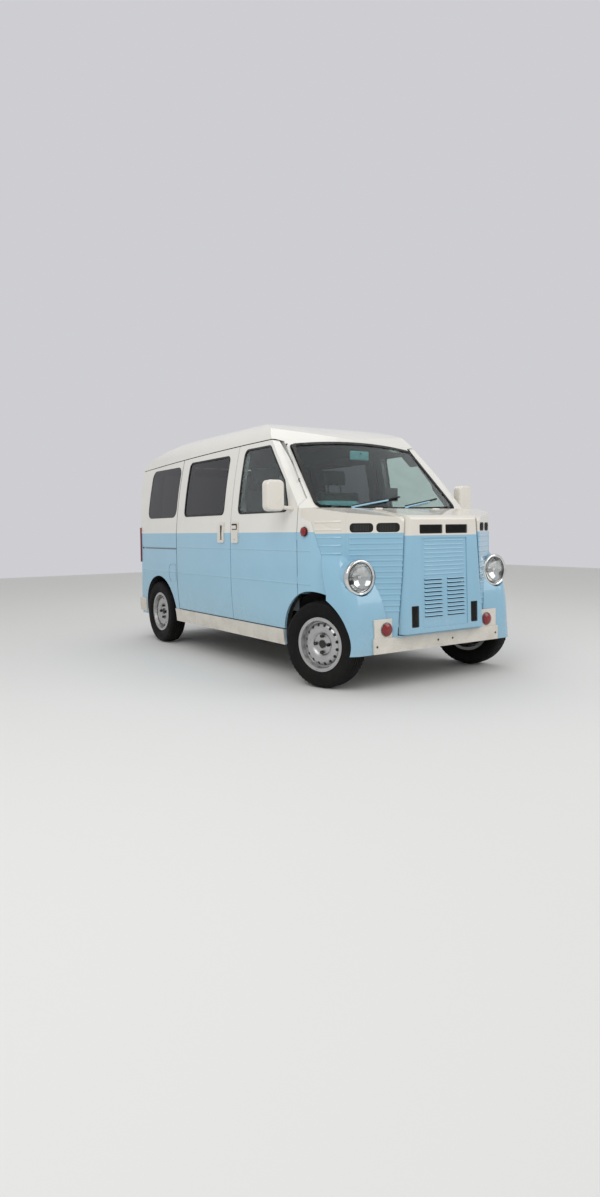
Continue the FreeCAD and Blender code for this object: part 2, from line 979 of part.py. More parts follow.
def make_side(outer, flange_back, inner):
    """The right side panel: rear quarter, sill, pillars and the flanges that the doors close on."""
    wall = outer.cut(inner).common(right_half(sill_bottom)).common(under_drip(seat_gap))
    wall = wall.cut(box((-half_length, -centre_gap, 0.0), (half_length, 0.0, overall_height)))
    ledge = outer.cut(flange_back)
    depth = box((-half_length, -half_width - overrun, 0.0), (half_length, -pillar_back_y, overall_height))
    for points in (front_door_points(), sliding_door_points()):
        wall = wall.cut(ledge.common(side_prism(points, 0.0, panel_gap)).common(depth))
        wall = wall.cut(side_prism(points, 0.0, -flange_width).common(under_drip(flange_width)).common(depth))
    side = screen_low_half - screen_corner_radius
    scuttle = box((cowl_seam_x - seat_gap, -side, 0.0),
                  (half_length, side, screen_low_corner_z + screen_corner_radius))
    cuts = [side_prism(quarter_window_points(), quarter_radius), gate_prism(panel_gap),
            screen_prism(-seat_gap),
            nose_space(seat_gap), scuttle, grown_header(), front_tunnels(), rear_tunnels(), rail_groove(),
            drip_groove(outer)]
    return wall.cut(cuts)


def grown_header():
    """The header zone with the gap that keeps the side panels off the roof."""
    side = screen_high_half - screen_corner_radius + seat_gap
    return box((pillar_high_x - overrun - seat_gap, -side,
                screen_high_corner_z - screen_corner_radius - seat_gap),
               (half_length, side, overall_height))


def rail_groove():
    """The groove along the rear quarter that the sliding door's rear roller runs in."""
    return box((rail_groove_rear_x, -half_width - overrun, rail_groove_z - rail_groove_height / 2),
               (sliding_rear_x, -half_width + rail_groove_depth, rail_groove_z + rail_groove_height / 2))


def drip_groove(outer):
    """The gutter under the roof's edge, from the sliding door back over the rear quarter."""
    rim = outer.cut(body_form(drip_groove_depth, roof_wall, 0.0, roof_wall))
    zone = box((rear_drip_x, -half_width - overrun, waist_z), (sliding_rear_x, 0.0, overall_height))
    return rim.common(zone).cut(under_drip(panel_gap))


def fuel_lid_groove():
    """The D-shaped gap round the fuel lid."""
    points = [(fuel_lid_rear_x, fuel_lid_low_z), (fuel_lid_rear_x, fuel_lid_high_z),
              (fuel_lid_front_x, fuel_lid_high_z), (fuel_lid_front_x, fuel_lid_low_z)]
    radii = [fuel_lid_radius, fuel_lid_radius, fuel_lid_small_radius, fuel_lid_small_radius]
    face = Part.Face(rounded("xz", points, radii, -half_width - overrun))
    ring = face.cut(face.makeOffset2D(-groove_width))
    return ring.extrude(Vector(0, overrun + groove_width, 0))


def nose_space(growth=0.0):
    """Everything ahead of the slanted seam between the body and the ribbed nose."""
    wire = outline("xz", (seam_top_x - growth, seam_top_z), [
        (seam_low_x - growth, seam_low_z),
        (seam_low_x - growth, 0.0),
        (half_length + overrun, 0.0),
        (half_length + overrun, cowl_rear_z + growth),
        (cowl_seam_x - growth, cowl_rear_z + growth),
        (cowl_seam_x - growth, cowl_seam_z)], -half_width - overrun)
    return slab(wire, Vector(0, 2 * (half_width + overrun), 0))


# Nose

def wing_section(height, side_y, bend, corner, round_mid, front, inner_y, inset):
    """One level of the right wing: a closed outline from the side round to the front."""
    return outline("xy", (wing_rear_x, -side_y + inset), [
        ((bend[0], -bend[1] + inset), (corner[0] - inset, -corner[1] + inset)),
        ((round_mid[0] - inset, -round_mid[1] + inset), (front[0] - inset, -front[1])),
        (front[0] - inset, -inner_y),
        (wing_rear_x, -inner_y)], height)


def wing_form(inset=0.0):
    """The bulging right wing that carries the headlight and covers the wheel."""
    low_z = wing_low_z - overrun if inset > 0.0 else wing_low_z
    sections = [
        wing_section(low_z, wing_low_side_y, (wing_low_bend_x, wing_low_bend_y),
                     (wing_low_corner_x, wing_low_corner_y),
                     (wing_low_round_x, wing_low_round_y), (wing_low_front_x, wing_low_front_y),
                     wing_low_inner_y, inset),
        wing_section(wing_mid_z, wing_mid_side_y, (wing_mid_bend_x, wing_mid_bend_y),
                     (wing_mid_corner_x, wing_mid_corner_y), (wing_mid_round_x, wing_mid_round_y),
                     (wing_mid_front_x, wing_mid_front_y), wing_mid_inner_y, inset),
        wing_section(wing_lamp_z, wing_lamp_side_y, (wing_lamp_bend_x, wing_lamp_bend_y),
                     (wing_lamp_corner_x, wing_lamp_corner_y), (wing_lamp_round_x, wing_lamp_round_y),
                     (wing_lamp_front_x, wing_lamp_front_y), wing_lamp_inner_y, inset),
        wing_section(wing_top_z - inset, wing_top_side_y, (wing_top_bend_x, wing_top_bend_y),
                     (wing_top_corner_x, wing_top_corner_y), (wing_top_round_x, wing_top_round_y),
                     (wing_top_front_x, wing_top_front_y), wing_top_inner_y, inset)]
    return Part.makeLoft(sections, True, False)


def nose_block(inset=0.0):
    """The nose without its wings, from the scuttle to the front, its top sloping up to the windscreen."""
    front = panel_front_x - inset
    bottom = sill_bottom - overrun / 2 if inset > 0.0 else sill_bottom
    turn = nose_top_radius * bend_share
    rear_x = wing_rear_x - overrun * 2
    wire = outline("xz", (front, bottom), [
        (front, cowl_front_z - inset - nose_top_radius),
        ((front - turn, cowl_front_z - inset - turn), (front - nose_top_radius, cowl_front_z - inset)),
        (cowl_rear_x, cowl_rear_z - inset),
        (rear_x, cowl_rear_z - inset),
        (rear_x, bottom)], -half_width)
    block = slab(wire, Vector(0, 2 * half_width, 0))
    block = block.common(section_form(inset, 0.0))
    return block.common(plan_form(inset * plan_inset_share, 0.0))


def pod_form(radius, front_x):
    return rod((nose_bend_x, -headlight_y, headlight_z), (front_x, -headlight_y, headlight_z), radius)


def lid_section(height, growth, inset):
    """The lid seen from above at one level, with its rounded side edges."""
    share = (height - lid_bottom_z) / (lid_top_z - lid_bottom_z)
    half = lid_low_half + (lid_top_half - lid_low_half) * share + growth - inset
    front = lid_low_x + (lid_top_x - lid_low_x) * share - inset
    if growth:
        front = half_length + overrun
    side = front - lid_edge if not growth else front - overrun
    turn = lid_edge * bend_share
    return outline("xy", (lid_rear_x - growth + inset, -half), [
        (side, -half),
        ((front - turn, -half + turn), (front, -half + lid_edge)),
        (front, half - lid_edge),
        ((front - turn, half - turn), (side, half)),
        (lid_rear_x - growth + inset, half)], height)


def lid_core(growth=0.0, inset=0.0):
    low = lid_bottom_z - growth + inset
    high = cowl_rear_z + overrun
    return Part.makeLoft([lid_section(low, growth, inset), lid_section(high, growth, inset)], True, True)


def lid_profile(inset, depth):
    """The lid from the side: a front plate and the ridge that runs back to the windscreen."""
    rise = (lid_rear_z - lid_top_z) / (lid_top_x - lid_edge - lid_rear_x)
    front_low = lid_low_x - inset
    front_top = lid_top_x - inset
    top = lid_top_z - inset
    rear_top = lid_rear_z - inset
    turn = nose_top_radius * bend_share
    bottom = lid_bottom_z - overrun
    wire = outline("xz", (front_low, bottom), [
        (front_low, lid_bottom_z),
        (front_top, top - nose_top_radius),
        ((front_top - turn, top - turn), (front_top - nose_top_radius, top)),
        (lid_rear_x - overrun, rear_top + rise * overrun),
        (lid_rear_x - overrun, rear_top - depth),
        (front_top - depth - overrun / 2, top - depth - overrun / 2),
        (front_low - depth, lid_bottom_z),
        (front_low - depth, bottom)], -half_width)
    return slab(wire, Vector(0, 2 * half_width, 0))


def rib(start, end, radius, sunk, normal):
    """A long bead with round ends that stands a little proud of a panel."""
    offset = Vector(*normal) * -sunk
    start = Vector(*start) + offset
    end = Vector(*end) + offset
    return rod(start, end, radius).fuse([Part.makeSphere(radius, start), Part.makeSphere(radius, end)])


def panel_direction():
    along = Vector(panel_front_x - nose_fold_x, -panel_front_y + nose_fold_y, 0.0)
    return along, along.Length, Vector(along).normalize()


def make_panel_beads():
    """The stack of beads across the right corner panel."""
    along, length, unit = panel_direction()
    normal = Vector(unit.y, -unit.x, 0)
    beads = []
    for index in range(bead_count):
        height = bead_low_z + index * bead_pitch
        start = Vector(nose_fold_x, -nose_fold_y, height) + unit * bead_end_margin
        end = Vector(panel_front_x, -panel_front_y, height)
        beads.append(rib(start, end, nose_bead_radius, nose_bead_radius - bead_rise, normal))
    return beads


def side_arc():
    """Centre and radius of the curve that turns the right side into the nose."""
    edge = Part.Arc(Vector(nose_turn_x, -half_width, 0), Vector(nose_bend_x, -nose_bend_y, 0),
                    Vector(nose_fold_x, -nose_fold_y, 0))
    circle = edge.toShape().Curve
    return circle.Center, circle.Radius


def make_side_beads():
    """Short beads that follow the curve of the nose's right side."""
    centre, radius = side_arc()
    beads = []
    for index in range(side_bead_count):
        height = side_bead_low_z + index * side_bead_pitch
        ring = Part.makeTorus(radius - side_bead_radius + bead_rise, side_bead_radius, Vector(0, 0, 0),
                              Vector(0, 0, 1), 0, 360, side_bead_deg)
        ring.Placement = FreeCAD.Placement(Vector(centre.x, centre.y, height),
                                           FreeCAD.Rotation(Vector(0, 0, 1), side_bead_start_deg - 90.0))
        beads.append(ring)
    return beads


def make_fold_bead():
    """The upright rounded fold where the side of the nose meets its corner panel."""
    return rod((nose_fold_x - fold_radius, -nose_fold_y + fold_radius / 2, wing_top_z - overrun),
               (nose_fold_x - fold_radius, -nose_fold_y + fold_radius / 2, cowl_front_z),
               fold_radius * fold_share)


def vent_frame(length, low, high, radius):
    """A flat pocket outline along X from zero, upright."""
    points = [(0.0, low), (0.0, high), (length, high), (length, low)]
    return Part.Face(rounded("xz", points, radius, 0.0))


def mesh_plate(length, low, high, radius):
    """A thin plate with upright slots, filling a vent."""
    plate = vent_frame(length - 2 * seat_gap, low + seat_gap, high - seat_gap, radius - seat_gap)
    plate = plate.extrude(Vector(0, mesh_thickness, 0))
    plate.translate(Vector(seat_gap, 0, 0))
    slots = []
    count = int((length - 2 * radius) / mesh_pitch)
    first = (length - count * mesh_pitch) / 2
    for index in range(count):
        left = first + index * mesh_pitch + mesh_bar / 2
        slots.append(box((left, -mesh_thickness, low + mesh_bar * 2),
                         (left + mesh_pitch - mesh_bar, mesh_thickness * 2, high - mesh_bar * 2)))
    return plate.cut(slots)


def on_panel(shape, distance, depth):
    """Moves a shape drawn along X, front face at zero depth, onto the right corner panel."""
    along, length, unit = panel_direction()
    angle = math.degrees(math.atan2(unit.y, unit.x))
    normal = Vector(unit.y, -unit.x, 0)
    spot = Vector(panel_front_x, -panel_front_y, 0) - unit * distance - normal * depth
    copy = shape.copy()
    copy.Placement = FreeCAD.Placement(spot, FreeCAD.Rotation(Vector(0, 0, 1),
                                                              angle)).multiply(copy.Placement)
    return copy


def corner_vent_cuts():
    cuts = []
    for start in (corner_vent_first, corner_vent_second):
        pocket = vent_frame(corner_vent_length, corner_vent_low_z, corner_vent_high_z, corner_vent_radius)
        pocket = pocket.extrude(Vector(0, vent_depth + overrun, 0))
        pocket.translate(Vector(0, -overrun, 0))
        cuts.append(on_panel(pocket, start + corner_vent_length, 0.0))
    return cuts


def corner_vent_meshes():
    meshes = []
    for start in (corner_vent_first, corner_vent_second):
        plate = mesh_plate(corner_vent_length, corner_vent_low_z, corner_vent_high_z, corner_vent_radius)
        meshes.append(on_panel(plate, start + corner_vent_length, vent_depth - mesh_thickness - seat_gap))
    return meshes


def bumper_shelf():
    """The room that the front bumper takes out of the nose."""
    return box((bumper_shelf_x, -bumper_half - seat_gap, 0.0),
               (half_length, bumper_half + seat_gap, bumper_high_z + seat_gap))


def make_nose():
    """The ribbed nose: corner panels, wings, lamp pods and scuttle, as one thin shell."""
    right = box((0.0, -half_width, 0.0), (half_length, seat_gap, overall_height))
    outside = nose_block().common(right)
    outside = outside.fuse([wing_form(), pod_form(pod_radius, headlight_x - pod_lip)])
    inside = nose_block(nose_wall).common(right)
    inside = inside.fuse([wing_form(nose_wall), pod_form(pod_radius - nose_wall,
                                                         headlight_x - pod_lip - nose_wall)])
    shell = outside.fuse(make_panel_beads() + make_side_beads() + [make_fold_bead()])
    shell = shell.cut(inside)
    ring = rod((headlight_x - pod_lip, -headlight_y, headlight_z),
               (headlight_x + overrun, -headlight_y, headlight_z),
               headlight_ring_radius + seat_gap)
    shell = shell.cut([front_tunnels(), pod_form(pod_bore, headlight_x + overrun), ring] + corner_vent_cuts())
    shell = shell.common(box((0.0, -half_width - overrun, sill_bottom), (half_length, 0.0, overall_height)))
    nose = shell.fuse(mirrored(shell)).common(nose_space())
    cabin = screen_layer(-reach / 2, 0.0, waist_z - overrun, overall_height)
    cabin = cabin.common(box((0.0, -screen_low_half, firewall_top_z),
                             (half_length, screen_low_half, overall_height)))
    return nose.cut([cabin, lid_core(panel_gap), bumper_shelf()])


def make_lid():
    """The hinged front lid with its grille: a ribbed upper half and two columns of louvres."""
    lid = lid_core().common(lid_profile(0.0, lid_depth))
    lid = lid.cut(lid_core(0.0, lid_wall).common(lid_profile(lid_wall, lid_depth + overrun)))
    recess_points = [(-grille_half, grille_low_z), (-grille_half, grille_high_z),
                     (grille_half, grille_high_z), (grille_half, grille_low_z)]
    front = lid_core(0.0, grille_recess).common(lid_profile(grille_recess, lid_depth + overrun))
    frame = front_prism(recess_points, vent_radius, lid_top_x - lid_depth, lid_depth * 2)
    lid = lid.cut(frame.cut(front))
    ribs = []
    slots = []
    hoods = []
    for index in range(grille_rib_count):
        height = grille_rib_low_z + index * grille_rib_pitch
        front_x = lid_front_x(height) - grille_recess
        ribs.append(rib((front_x, -grille_half + overrun / 2, height),
                        (front_x, grille_half - overrun / 2, height),
                        grille_rib_radius, grille_rib_radius - bead_rise, (1.0, 0.0, 0.0)))
    for index in range(louvre_count):
        height = louvre_low_z + index * louvre_pitch
        front_x = lid_front_x(height) - grille_recess
        for side in (-1, 1):
            left = min(side * louvre_inner_y, side * louvre_outer_y)
            right = max(side * louvre_inner_y, side * louvre_outer_y)
            slots.append(box((front_x - overrun, left, height - louvre_slot / 2),
                             (front_x + overrun, right, height + louvre_slot / 2)))
            hood = rod((front_x, left, height + louvre_slot / 2),
                       (front_x, right, height + louvre_slot / 2), louvre_hood)
            hoods.append(hood.common(box((front_x - mesh_thickness, left, height + louvre_slot / 2),
                                         (front_x + overrun, right, height + overrun))))
    lid = lid.cut(slots)
    lid = lid.fuse(ribs + hoods)
    for cut in lid_vent_cuts():
        lid = lid.cut(cut)
    return lid.removeSplitter()


def lid_front_x(height):
    share = (height - lid_bottom_z) / (lid_top_z - nose_top_radius - lid_bottom_z)
    return lid_low_x + (lid_top_x - lid_low_x) * share


def lid_openings():
    """Left edge, width, low, high and corner radius of each opening that a mesh fills in the lid."""
    rows = []
    for side in (-1, 1):
        left = min(side * vent_inner_y, side * vent_outer_y)
        rows.append((left, vent_outer_y - vent_inner_y, vent_low_z, vent_high_z, vent_radius))
        rows.append((side * intake_y - intake_width / 2, intake_width, intake_low_z, intake_high_z,
                     vent_radius))
    return rows


def on_lid(shape, left, height, depth):
    """Moves a shape drawn along X, front face at zero depth, onto the lid's front."""
    copy = shape.copy()
    spot = Vector(lid_front_x(height) - depth, left, 0)
    copy.Placement = FreeCAD.Placement(spot, FreeCAD.Rotation(Vector(0, 0, 1), 90)).multiply(copy.Placement)
    return copy


def lid_vent_cuts():
    cuts = []
    for left, width, low, high, radius in lid_openings():
        pocket = vent_frame(width, low, high, radius).extrude(Vector(0, vent_depth + overrun, 0))
        pocket.translate(Vector(0, -overrun, 0))
        cuts.append(on_lid(pocket, left, (low + high) / 2, 0.0))
    return cuts


def lid_meshes():
    meshes = []
    for left, width, low, high, radius in lid_openings():
        plate = mesh_plate(width, low, high, radius)
        meshes.append(on_lid(plate, left, (low + high) / 2, vent_depth - mesh_thickness - seat_gap))
    return meshes


# Hinges

def hinge(centre, direction, length, radius):
    """A hinge barrel, its notch, the leaf's pin with its end knuckles, and the bore through the barrel."""
    direction = Vector(*direction)
    start = Vector(*centre) - direction * (length / 2)
    end = Vector(*centre) + direction * (length / 2)
    gap = direction * notch_gap
    over = direction * (notch_gap + radius)
    barrel = rod(start, end, radius)
    notch = rod(start - gap, end + gap, radius + notch_gap)
    pin = rod(start - over, end + over, radius * pin_share)
    pin = pin.fuse([rod(start - over, start - gap, radius), rod(end + gap, end + over, radius)])
    bore = rod(start - over, end + over, radius * pin_share + hinge_clearance)
    return barrel, notch, pin, bore


def hang(frame, leaf, hinges, webs):
    """Puts the barrels and their webs on the frame, and the notches and pins on the leaf."""
    barrels = [parts[0] for parts in hinges]
    notches = [parts[1] for parts in hinges]
    pins = [parts[2] for parts in hinges]
    bores = [parts[3] for parts in hinges]
    frame = frame.fuse(barrels + webs).cut(bores).removeSplitter()
    leaf = leaf.cut(notches).fuse(pins).removeSplitter()
    return frame, leaf


def hang_door(side, door):
    hinges = []
    webs = []
    half = door_hinge_length / 2
    for height in (door_hinge_low_z, door_hinge_high_z):
        hinges.append(hinge((door_front_x, -half_width, height), (0, 0, 1), door_hinge_length,
                            door_hinge_radius))
        webs.append(box((door_front_x, -half_width, height - half),
                        (door_front_x + panel_gap + notch_gap * 2, -half_width + door_hinge_radius,
                         height + half)))
    return hang(side, door, hinges, webs)


def hang_lid(nose, lid):
    hinges = []
    webs = []
    half = flap_hinge_length / 2
    for side in (-1, 1):
        hinges.append(hinge((lid_rear_x, side * lid_hinge_y, lid_rear_z), (0, 1, 0), flap_hinge_length,
                            flap_hinge_radius))
        webs.append(box((lid_rear_x - flap_hinge_radius * 5, side * lid_hinge_y - half,
                         lid_rear_z - flap_hinge_radius),
                        (lid_rear_x, side * lid_hinge_y + half, lid_rear_z + flap_hinge_radius * half_share)))
    return hang(nose, lid, hinges, webs)


def gate_hinge_line():
    """Where the tailgate's top edge meets the body's rear arc, and the directions along and out of it."""
    edge = Part.Arc(Vector(rear_drip_x, 0, drip_rear_z),
                    Vector(rear_brow_x, 0, (drip_rear_z + roof_rear_z) / 2),
                    Vector(roof_rear_x, 0, roof_rear_z))
    circle = edge.toShape().Curve
    rise = tailgate_top_z - circle.Center.z
    spot = Vector(circle.Center.x - math.sqrt(circle.Radius ** 2 - rise ** 2), 0, tailgate_top_z)
    outward = (spot - circle.Center).normalize()
    return spot, Vector(outward.z, 0, -outward.x), outward


def hang_tailgate(roof, gate):
    hinges = []
    webs = []
    half = flap_hinge_length / 2
    spot, along, outward = gate_hinge_line()
    far = spot + along * (flap_hinge_radius * 5)
    drop = outward * (flap_hinge_radius * half_share)
    for side in (-1, 1):
        hinges.append(hinge((spot.x, side * gate_hinge_y, spot.z), (0, 1, 0), flap_hinge_length,
                            flap_hinge_radius))
        web = outline("xz", (spot.x, spot.z), [
            (far.x, far.z), (far.x - drop.x, far.z - drop.z), (spot.x - drop.x, spot.z - drop.z)],
            side * gate_hinge_y - half)
        webs.append(slab(web, Vector(0, flap_hinge_length, 0)))
    return hang(roof, gate, hinges, webs)


# Lamps and bumpers

def turned(profile, right_x, right_y, right_z):
    """A profile in X and Z turned about the X axis, then moved into place."""
    solid = Part.Face(profile).revolve(Vector(0, 0, 0), Vector(1, 0, 0), 360)
    solid.translate(Vector(right_x, right_y, right_z))
    return solid


def make_headlights():
    """Bright bezel and bowl of each headlight, seated in the pod, with the bulb in the middle."""
    ring = headlight_ring_radius
    lens = headlight_lens_radius
    plug = pod_bore - seat_gap
    seat = -pod_lip + seat_gap
    profile = outline("xz", (-headlight_depth, 0.0), [
        (-headlight_depth, plug),
        (seat, plug),
        (seat, headlight_shoulder),
        ((seat * half_share, ring - headlight_step / 4), (0.0, ring)),
        ((headlight_lip * ring_bulge_share, ring - headlight_step), (headlight_lip, ring - headlight_lip)),
        (headlight_step, lens),
        (-lens_seat, lens),
        (-lens_seat, lens - headlight_step),
        ((-headlight_bowl * three_quarter_share, lens * dome_share), (-headlight_bowl, bulb_radius)),
        (-bulb_radius, bulb_radius),
        ((-bulb_radius * quarter_share, bulb_radius * three_quarter_share), (0.0, tip_flat)),
        (0.0, 0.0)])
    return both_sides(turned(profile, headlight_x, -headlight_y, headlight_z))


def make_lenses():
    """Domed clear lens of each headlight."""
    edge = headlight_lens_radius - seat_gap
    back = -lens_seat + seat_gap
    inner = headlight_dome - lens_thickness
    profile = outline("xz", (back, edge), [
        (headlight_step, edge),
        ((headlight_dome * dome_mid_share, edge * dome_share), (headlight_dome, tip_flat)),
        (headlight_dome, 0.0),
        (inner, 0.0),
        (inner, tip_flat),
        ((inner * dome_mid_share - lens_thickness, edge * dome_share), (back, edge - lens_thickness))])
    return both_sides(turned(profile, headlight_x, -headlight_y, headlight_z))


def dome(radius, proud, seat):
    """A round lamp on a shaft of depth seat, facing +X from zero."""
    profile = outline("xz", (-seat, 0.0), [
        (-seat, radius),
        (proud / 2, radius),
        ((proud * dome_mid_share, radius * dome_share), (proud, tip_flat)),
        (proud, 0.0)])
    return Part.Face(profile).revolve(Vector(0, 0, 0), Vector(1, 0, 0), 360)


def make_front_bumper():
    """The white front bumper with a block for each turn lamp, cut to the nose behind it."""
    face = bumper_face_x
    beam = box((bumper_shelf_x + seat_gap, -bumper_half, bumper_low_z), (face, bumper_half, bumper_high_z))
    hollow = box((bumper_shelf_x, -bumper_half + bumper_wall, bumper_low_z + bumper_wall),
                 (face - bumper_wall, bumper_half - bumper_wall, bumper_high_z - bumper_wall))
    beam = beam.cut(hollow)
    lamp_box = box((bumper_shelf_x + seat_gap, -lamp_box_outer_y, bumper_high_z - seat_gap),
                   (face - lamp_box_back, -lamp_box_inner_y, lamp_box_top_z))
    lamp_box = lamp_box.cut([nose_block(-seat_gap), wing_form(-seat_gap)])
    cuts = []
    for side in (-1, 1):
        across = plate_hole_y + side * plate_hole_pitch / 2
        cuts.append(rod((face - overrun, across, plate_hole_z),
                        (face + overrun, across, plate_hole_z), plate_hole_radius))
        cuts.append(rod((face - bumper_wall * 2, side * bumper_end_hole_y, bumper_end_hole_z),
                        (face + overrun, side * bumper_end_hole_y, bumper_end_hole_z), plate_hole_radius))
    return joined([beam] + both_sides(lamp_box)).cut(cuts)


def make_rear_bumper(outer):
    """The rear bumper, wrapped round the body's rear corners."""
    form = body_form(-skirt_proud, 0.0, -rear_bumper_proud, 0.0)
    band = box((-half_length - overrun, -half_width - overrun, rear_bumper_low_z),
               (rear_bumper_front_x, half_width + overrun, rear_bumper_high_z))
    return form.common(band).cut([outer] + both_sides(rear_tunnels()))


def make_skirts(outer):
    """White sill skirts along the lower sides, between the wheel arches."""
    band = box((rear_arch_x, -half_width - overrun, skirt_bottom), (front_arch_x, 0.0, skirt_top))
    skirt = body_form(-skirt_proud, 0.0, 0.0, 0.0).common(band).cut(outer)
    return both_sides(skirt.cut([front_tunnels(), rear_tunnels()]))


def make_guides():
    """Blocks at the foot of the sliding door that run along the sill, with the rear roller's arm."""
    guides = []
    for x in (sliding_front_x - guide_length * 2, sliding_rear_x + guide_length):
        guides.append(box((x, -half_width_sill + guide_inset, door_bottom_z - panel_gap + seat_gap),
                          (x + guide_length, -half_width_sill + guide_inset + guide_width,
                           door_bottom_z + panel_gap)))
    return guides


def make_signal_lamps():
    """Round turn lamps, side repeaters and upright tail lamps."""
    lamps = []
    front = dome(turn_lamp_radius, turn_lamp_proud, 0.0)
    front.translate(Vector(bumper_face_x - lamp_box_back + seat_gap, -turn_lamp_y, turn_lamp_z))
    lamps += both_sides(front)
    side = dome(repeater_radius, repeater_proud + groove_width, repeater_proud)
    side.Placement = FreeCAD.Placement(Vector(repeater_x, -half_width - groove_width, repeater_z),
                                       FreeCAD.Rotation(Vector(0, 0, 1), -90))
    clear = body_form(-seat_gap, 0.0, -seat_gap, 0.0)
    lamps += both_sides(side.cut(clear))
    tail = body_form(-tail_lamp_proud, 0.0, -tail_lamp_proud, 0.0).cut(clear)
    zone = box((-half_length - overrun, -half_width - overrun, tail_lamp_low_z),
               (rear_face_x + rear_corner, -tail_lamp_inner_y, tail_lamp_high_z))
    lamps += both_sides(tail.common(zone))
    return lamps


# Wheels

def make_tyre():
    """A tyre about the Y axis at the origin, outer side towards -Y."""
    half = tyre_width / 2
    bead = bead_radius + seat_gap
    flange_half = rim_width / 2
    shoulder_radius = tyre_radius - tyre_shoulder_drop
    wire = outline("yz", (-flange_half + rim_seat, bead), [
        (-flange_half + rim_seat, rim_flange_radius),
        ((-half, tyre_bulge_radius), (-tyre_shoulder_half, shoulder_radius)),
        (-tyre_tread_half, tyre_radius),
        (tyre_tread_half, tyre_radius),
        (tyre_shoulder_half, shoulder_radius),
        ((half, tyre_bulge_radius), (flange_half - rim_seat, rim_flange_radius)),
        (flange_half - rim_seat, bead)])
    return Part.Face(wire).revolve(Vector(0, 0, 0), Vector(0, 1, 0), 360)


def make_rim():
    """A pressed steel wheel: barrel, dished disc with vents and stud nuts, and its hub."""
    flange = rim_width / 2
    wall = rim_wall
    barrel = outline("yz", (-flange, rim_flange_radius), [
        (-flange + wall, rim_flange_radius),
        (-flange + rim_seat, bead_radius),
        (flange - rim_seat, bead_radius),
        (flange - wall, rim_flange_radius),
        (flange, rim_flange_radius),
        (flange, bead_radius - wall),
        (well_half, well_radius),
        (-well_half, well_radius),
        (-flange, bead_radius - wall)])
    disc = outline("yz", (-hub_face, hub_bore), [
        (-hub_face, hub_flat),
        ((-hub_face - crown_rise / 2, hub_flat + crown_rise / 2), (-hub_face - crown_rise, crown_radius)),
        ((-hub_face - crown_rise, crown_radius + wall * 2), (-disc_rim_y, disc_rim_radius)),
        (-disc_rim_y, well_radius + wall / 2),
        (-disc_rim_y + wall * 2, well_radius + wall / 2),
        (-disc_rim_y + wall * 2, disc_rim_radius - wall / 2),
        ((-hub_face - crown_rise + wall, crown_radius + wall),
         (-hub_face - crown_rise + wall, crown_radius - wall)),
        ((-hub_face - crown_rise / 2 + wall, hub_flat + crown_rise / 2), (-hub_face + wall, hub_flat - wall)),
        (-hub_face + wall, hub_bore)])
    solids = []
    for wire in (barrel, disc):
        solids.append(Part.Face(wire).revolve(Vector(0, 0, 0), Vector(0, 1, 0), 360))
    hub = rod((0, hub_back, 0), (0, -hub_face + wall, 0), hub_flat - wall * 2)
    hub = hub.fuse(rod((0, hub_back, 0), (0, -hub_face - wall, 0), hub_bore - wall))
    rim = solids[0].fuse([solids[1], hub])
    cuts = []
    for index in range(vent_count):
        angle = 2 * math.pi * (index + 0.5) / vent_count
        spot = (vent_ring_radius * math.cos(angle), 0.0, vent_ring_radius * math.sin(angle))
        cuts.append(rod((spot[0], -rim_width, spot[2]), (spot[0], 0, spot[2]), vent_hole_radius))
    cuts.append(rod((0, rim_width, 0), (0, -hub_face + spindle_cover, 0), spindle_radius + spindle_clearance))
    rim = rim.cut(cuts)
    nuts = []
    for index in range(stud_count):
        angle = 2 * math.pi * index / stud_count
        spot = (stud_pitch_radius * math.cos(angle), -hub_face - nut_height,
                stud_pitch_radius * math.sin(angle))
        nuts.append(Part.makeCylinder(nut_radius, nut_height + wall, Vector(*spot), Vector(0, 1, 0)))
    return rim.fuse(nuts).removeSplitter()


def wheel_place(front, right):
    """Where a wheel's centre sits and how far it is steered."""
    if not front:
        side = -rear_track / 2 if right else rear_track / 2
        return Vector(rear_axle_x, side, tyre_radius), 0.0
    sign = -1 if right else 1
    pivot = Vector(front_axle_x, sign * kingpin_y, tyre_radius)
    offset = Vector(0, sign * (front_track / 2 - kingpin_y), 0)
    turn = FreeCAD.Rotation(Vector(0, 0, 1), photo_steer_deg)
    return pivot + turn.multVec(offset), photo_steer_deg


def set_wheel(shape, front, right):
    """Places a wheel drawn at the origin with its outer side towards -Y."""
    copy = shape.copy() if right else mirrored(shape)
    centre, turn = wheel_place(front, right)
    copy.Placement = FreeCAD.Placement(centre, FreeCAD.Rotation(Vector(0, 0, 1),
                                                                turn)).multiply(copy.Placement)
    return copy


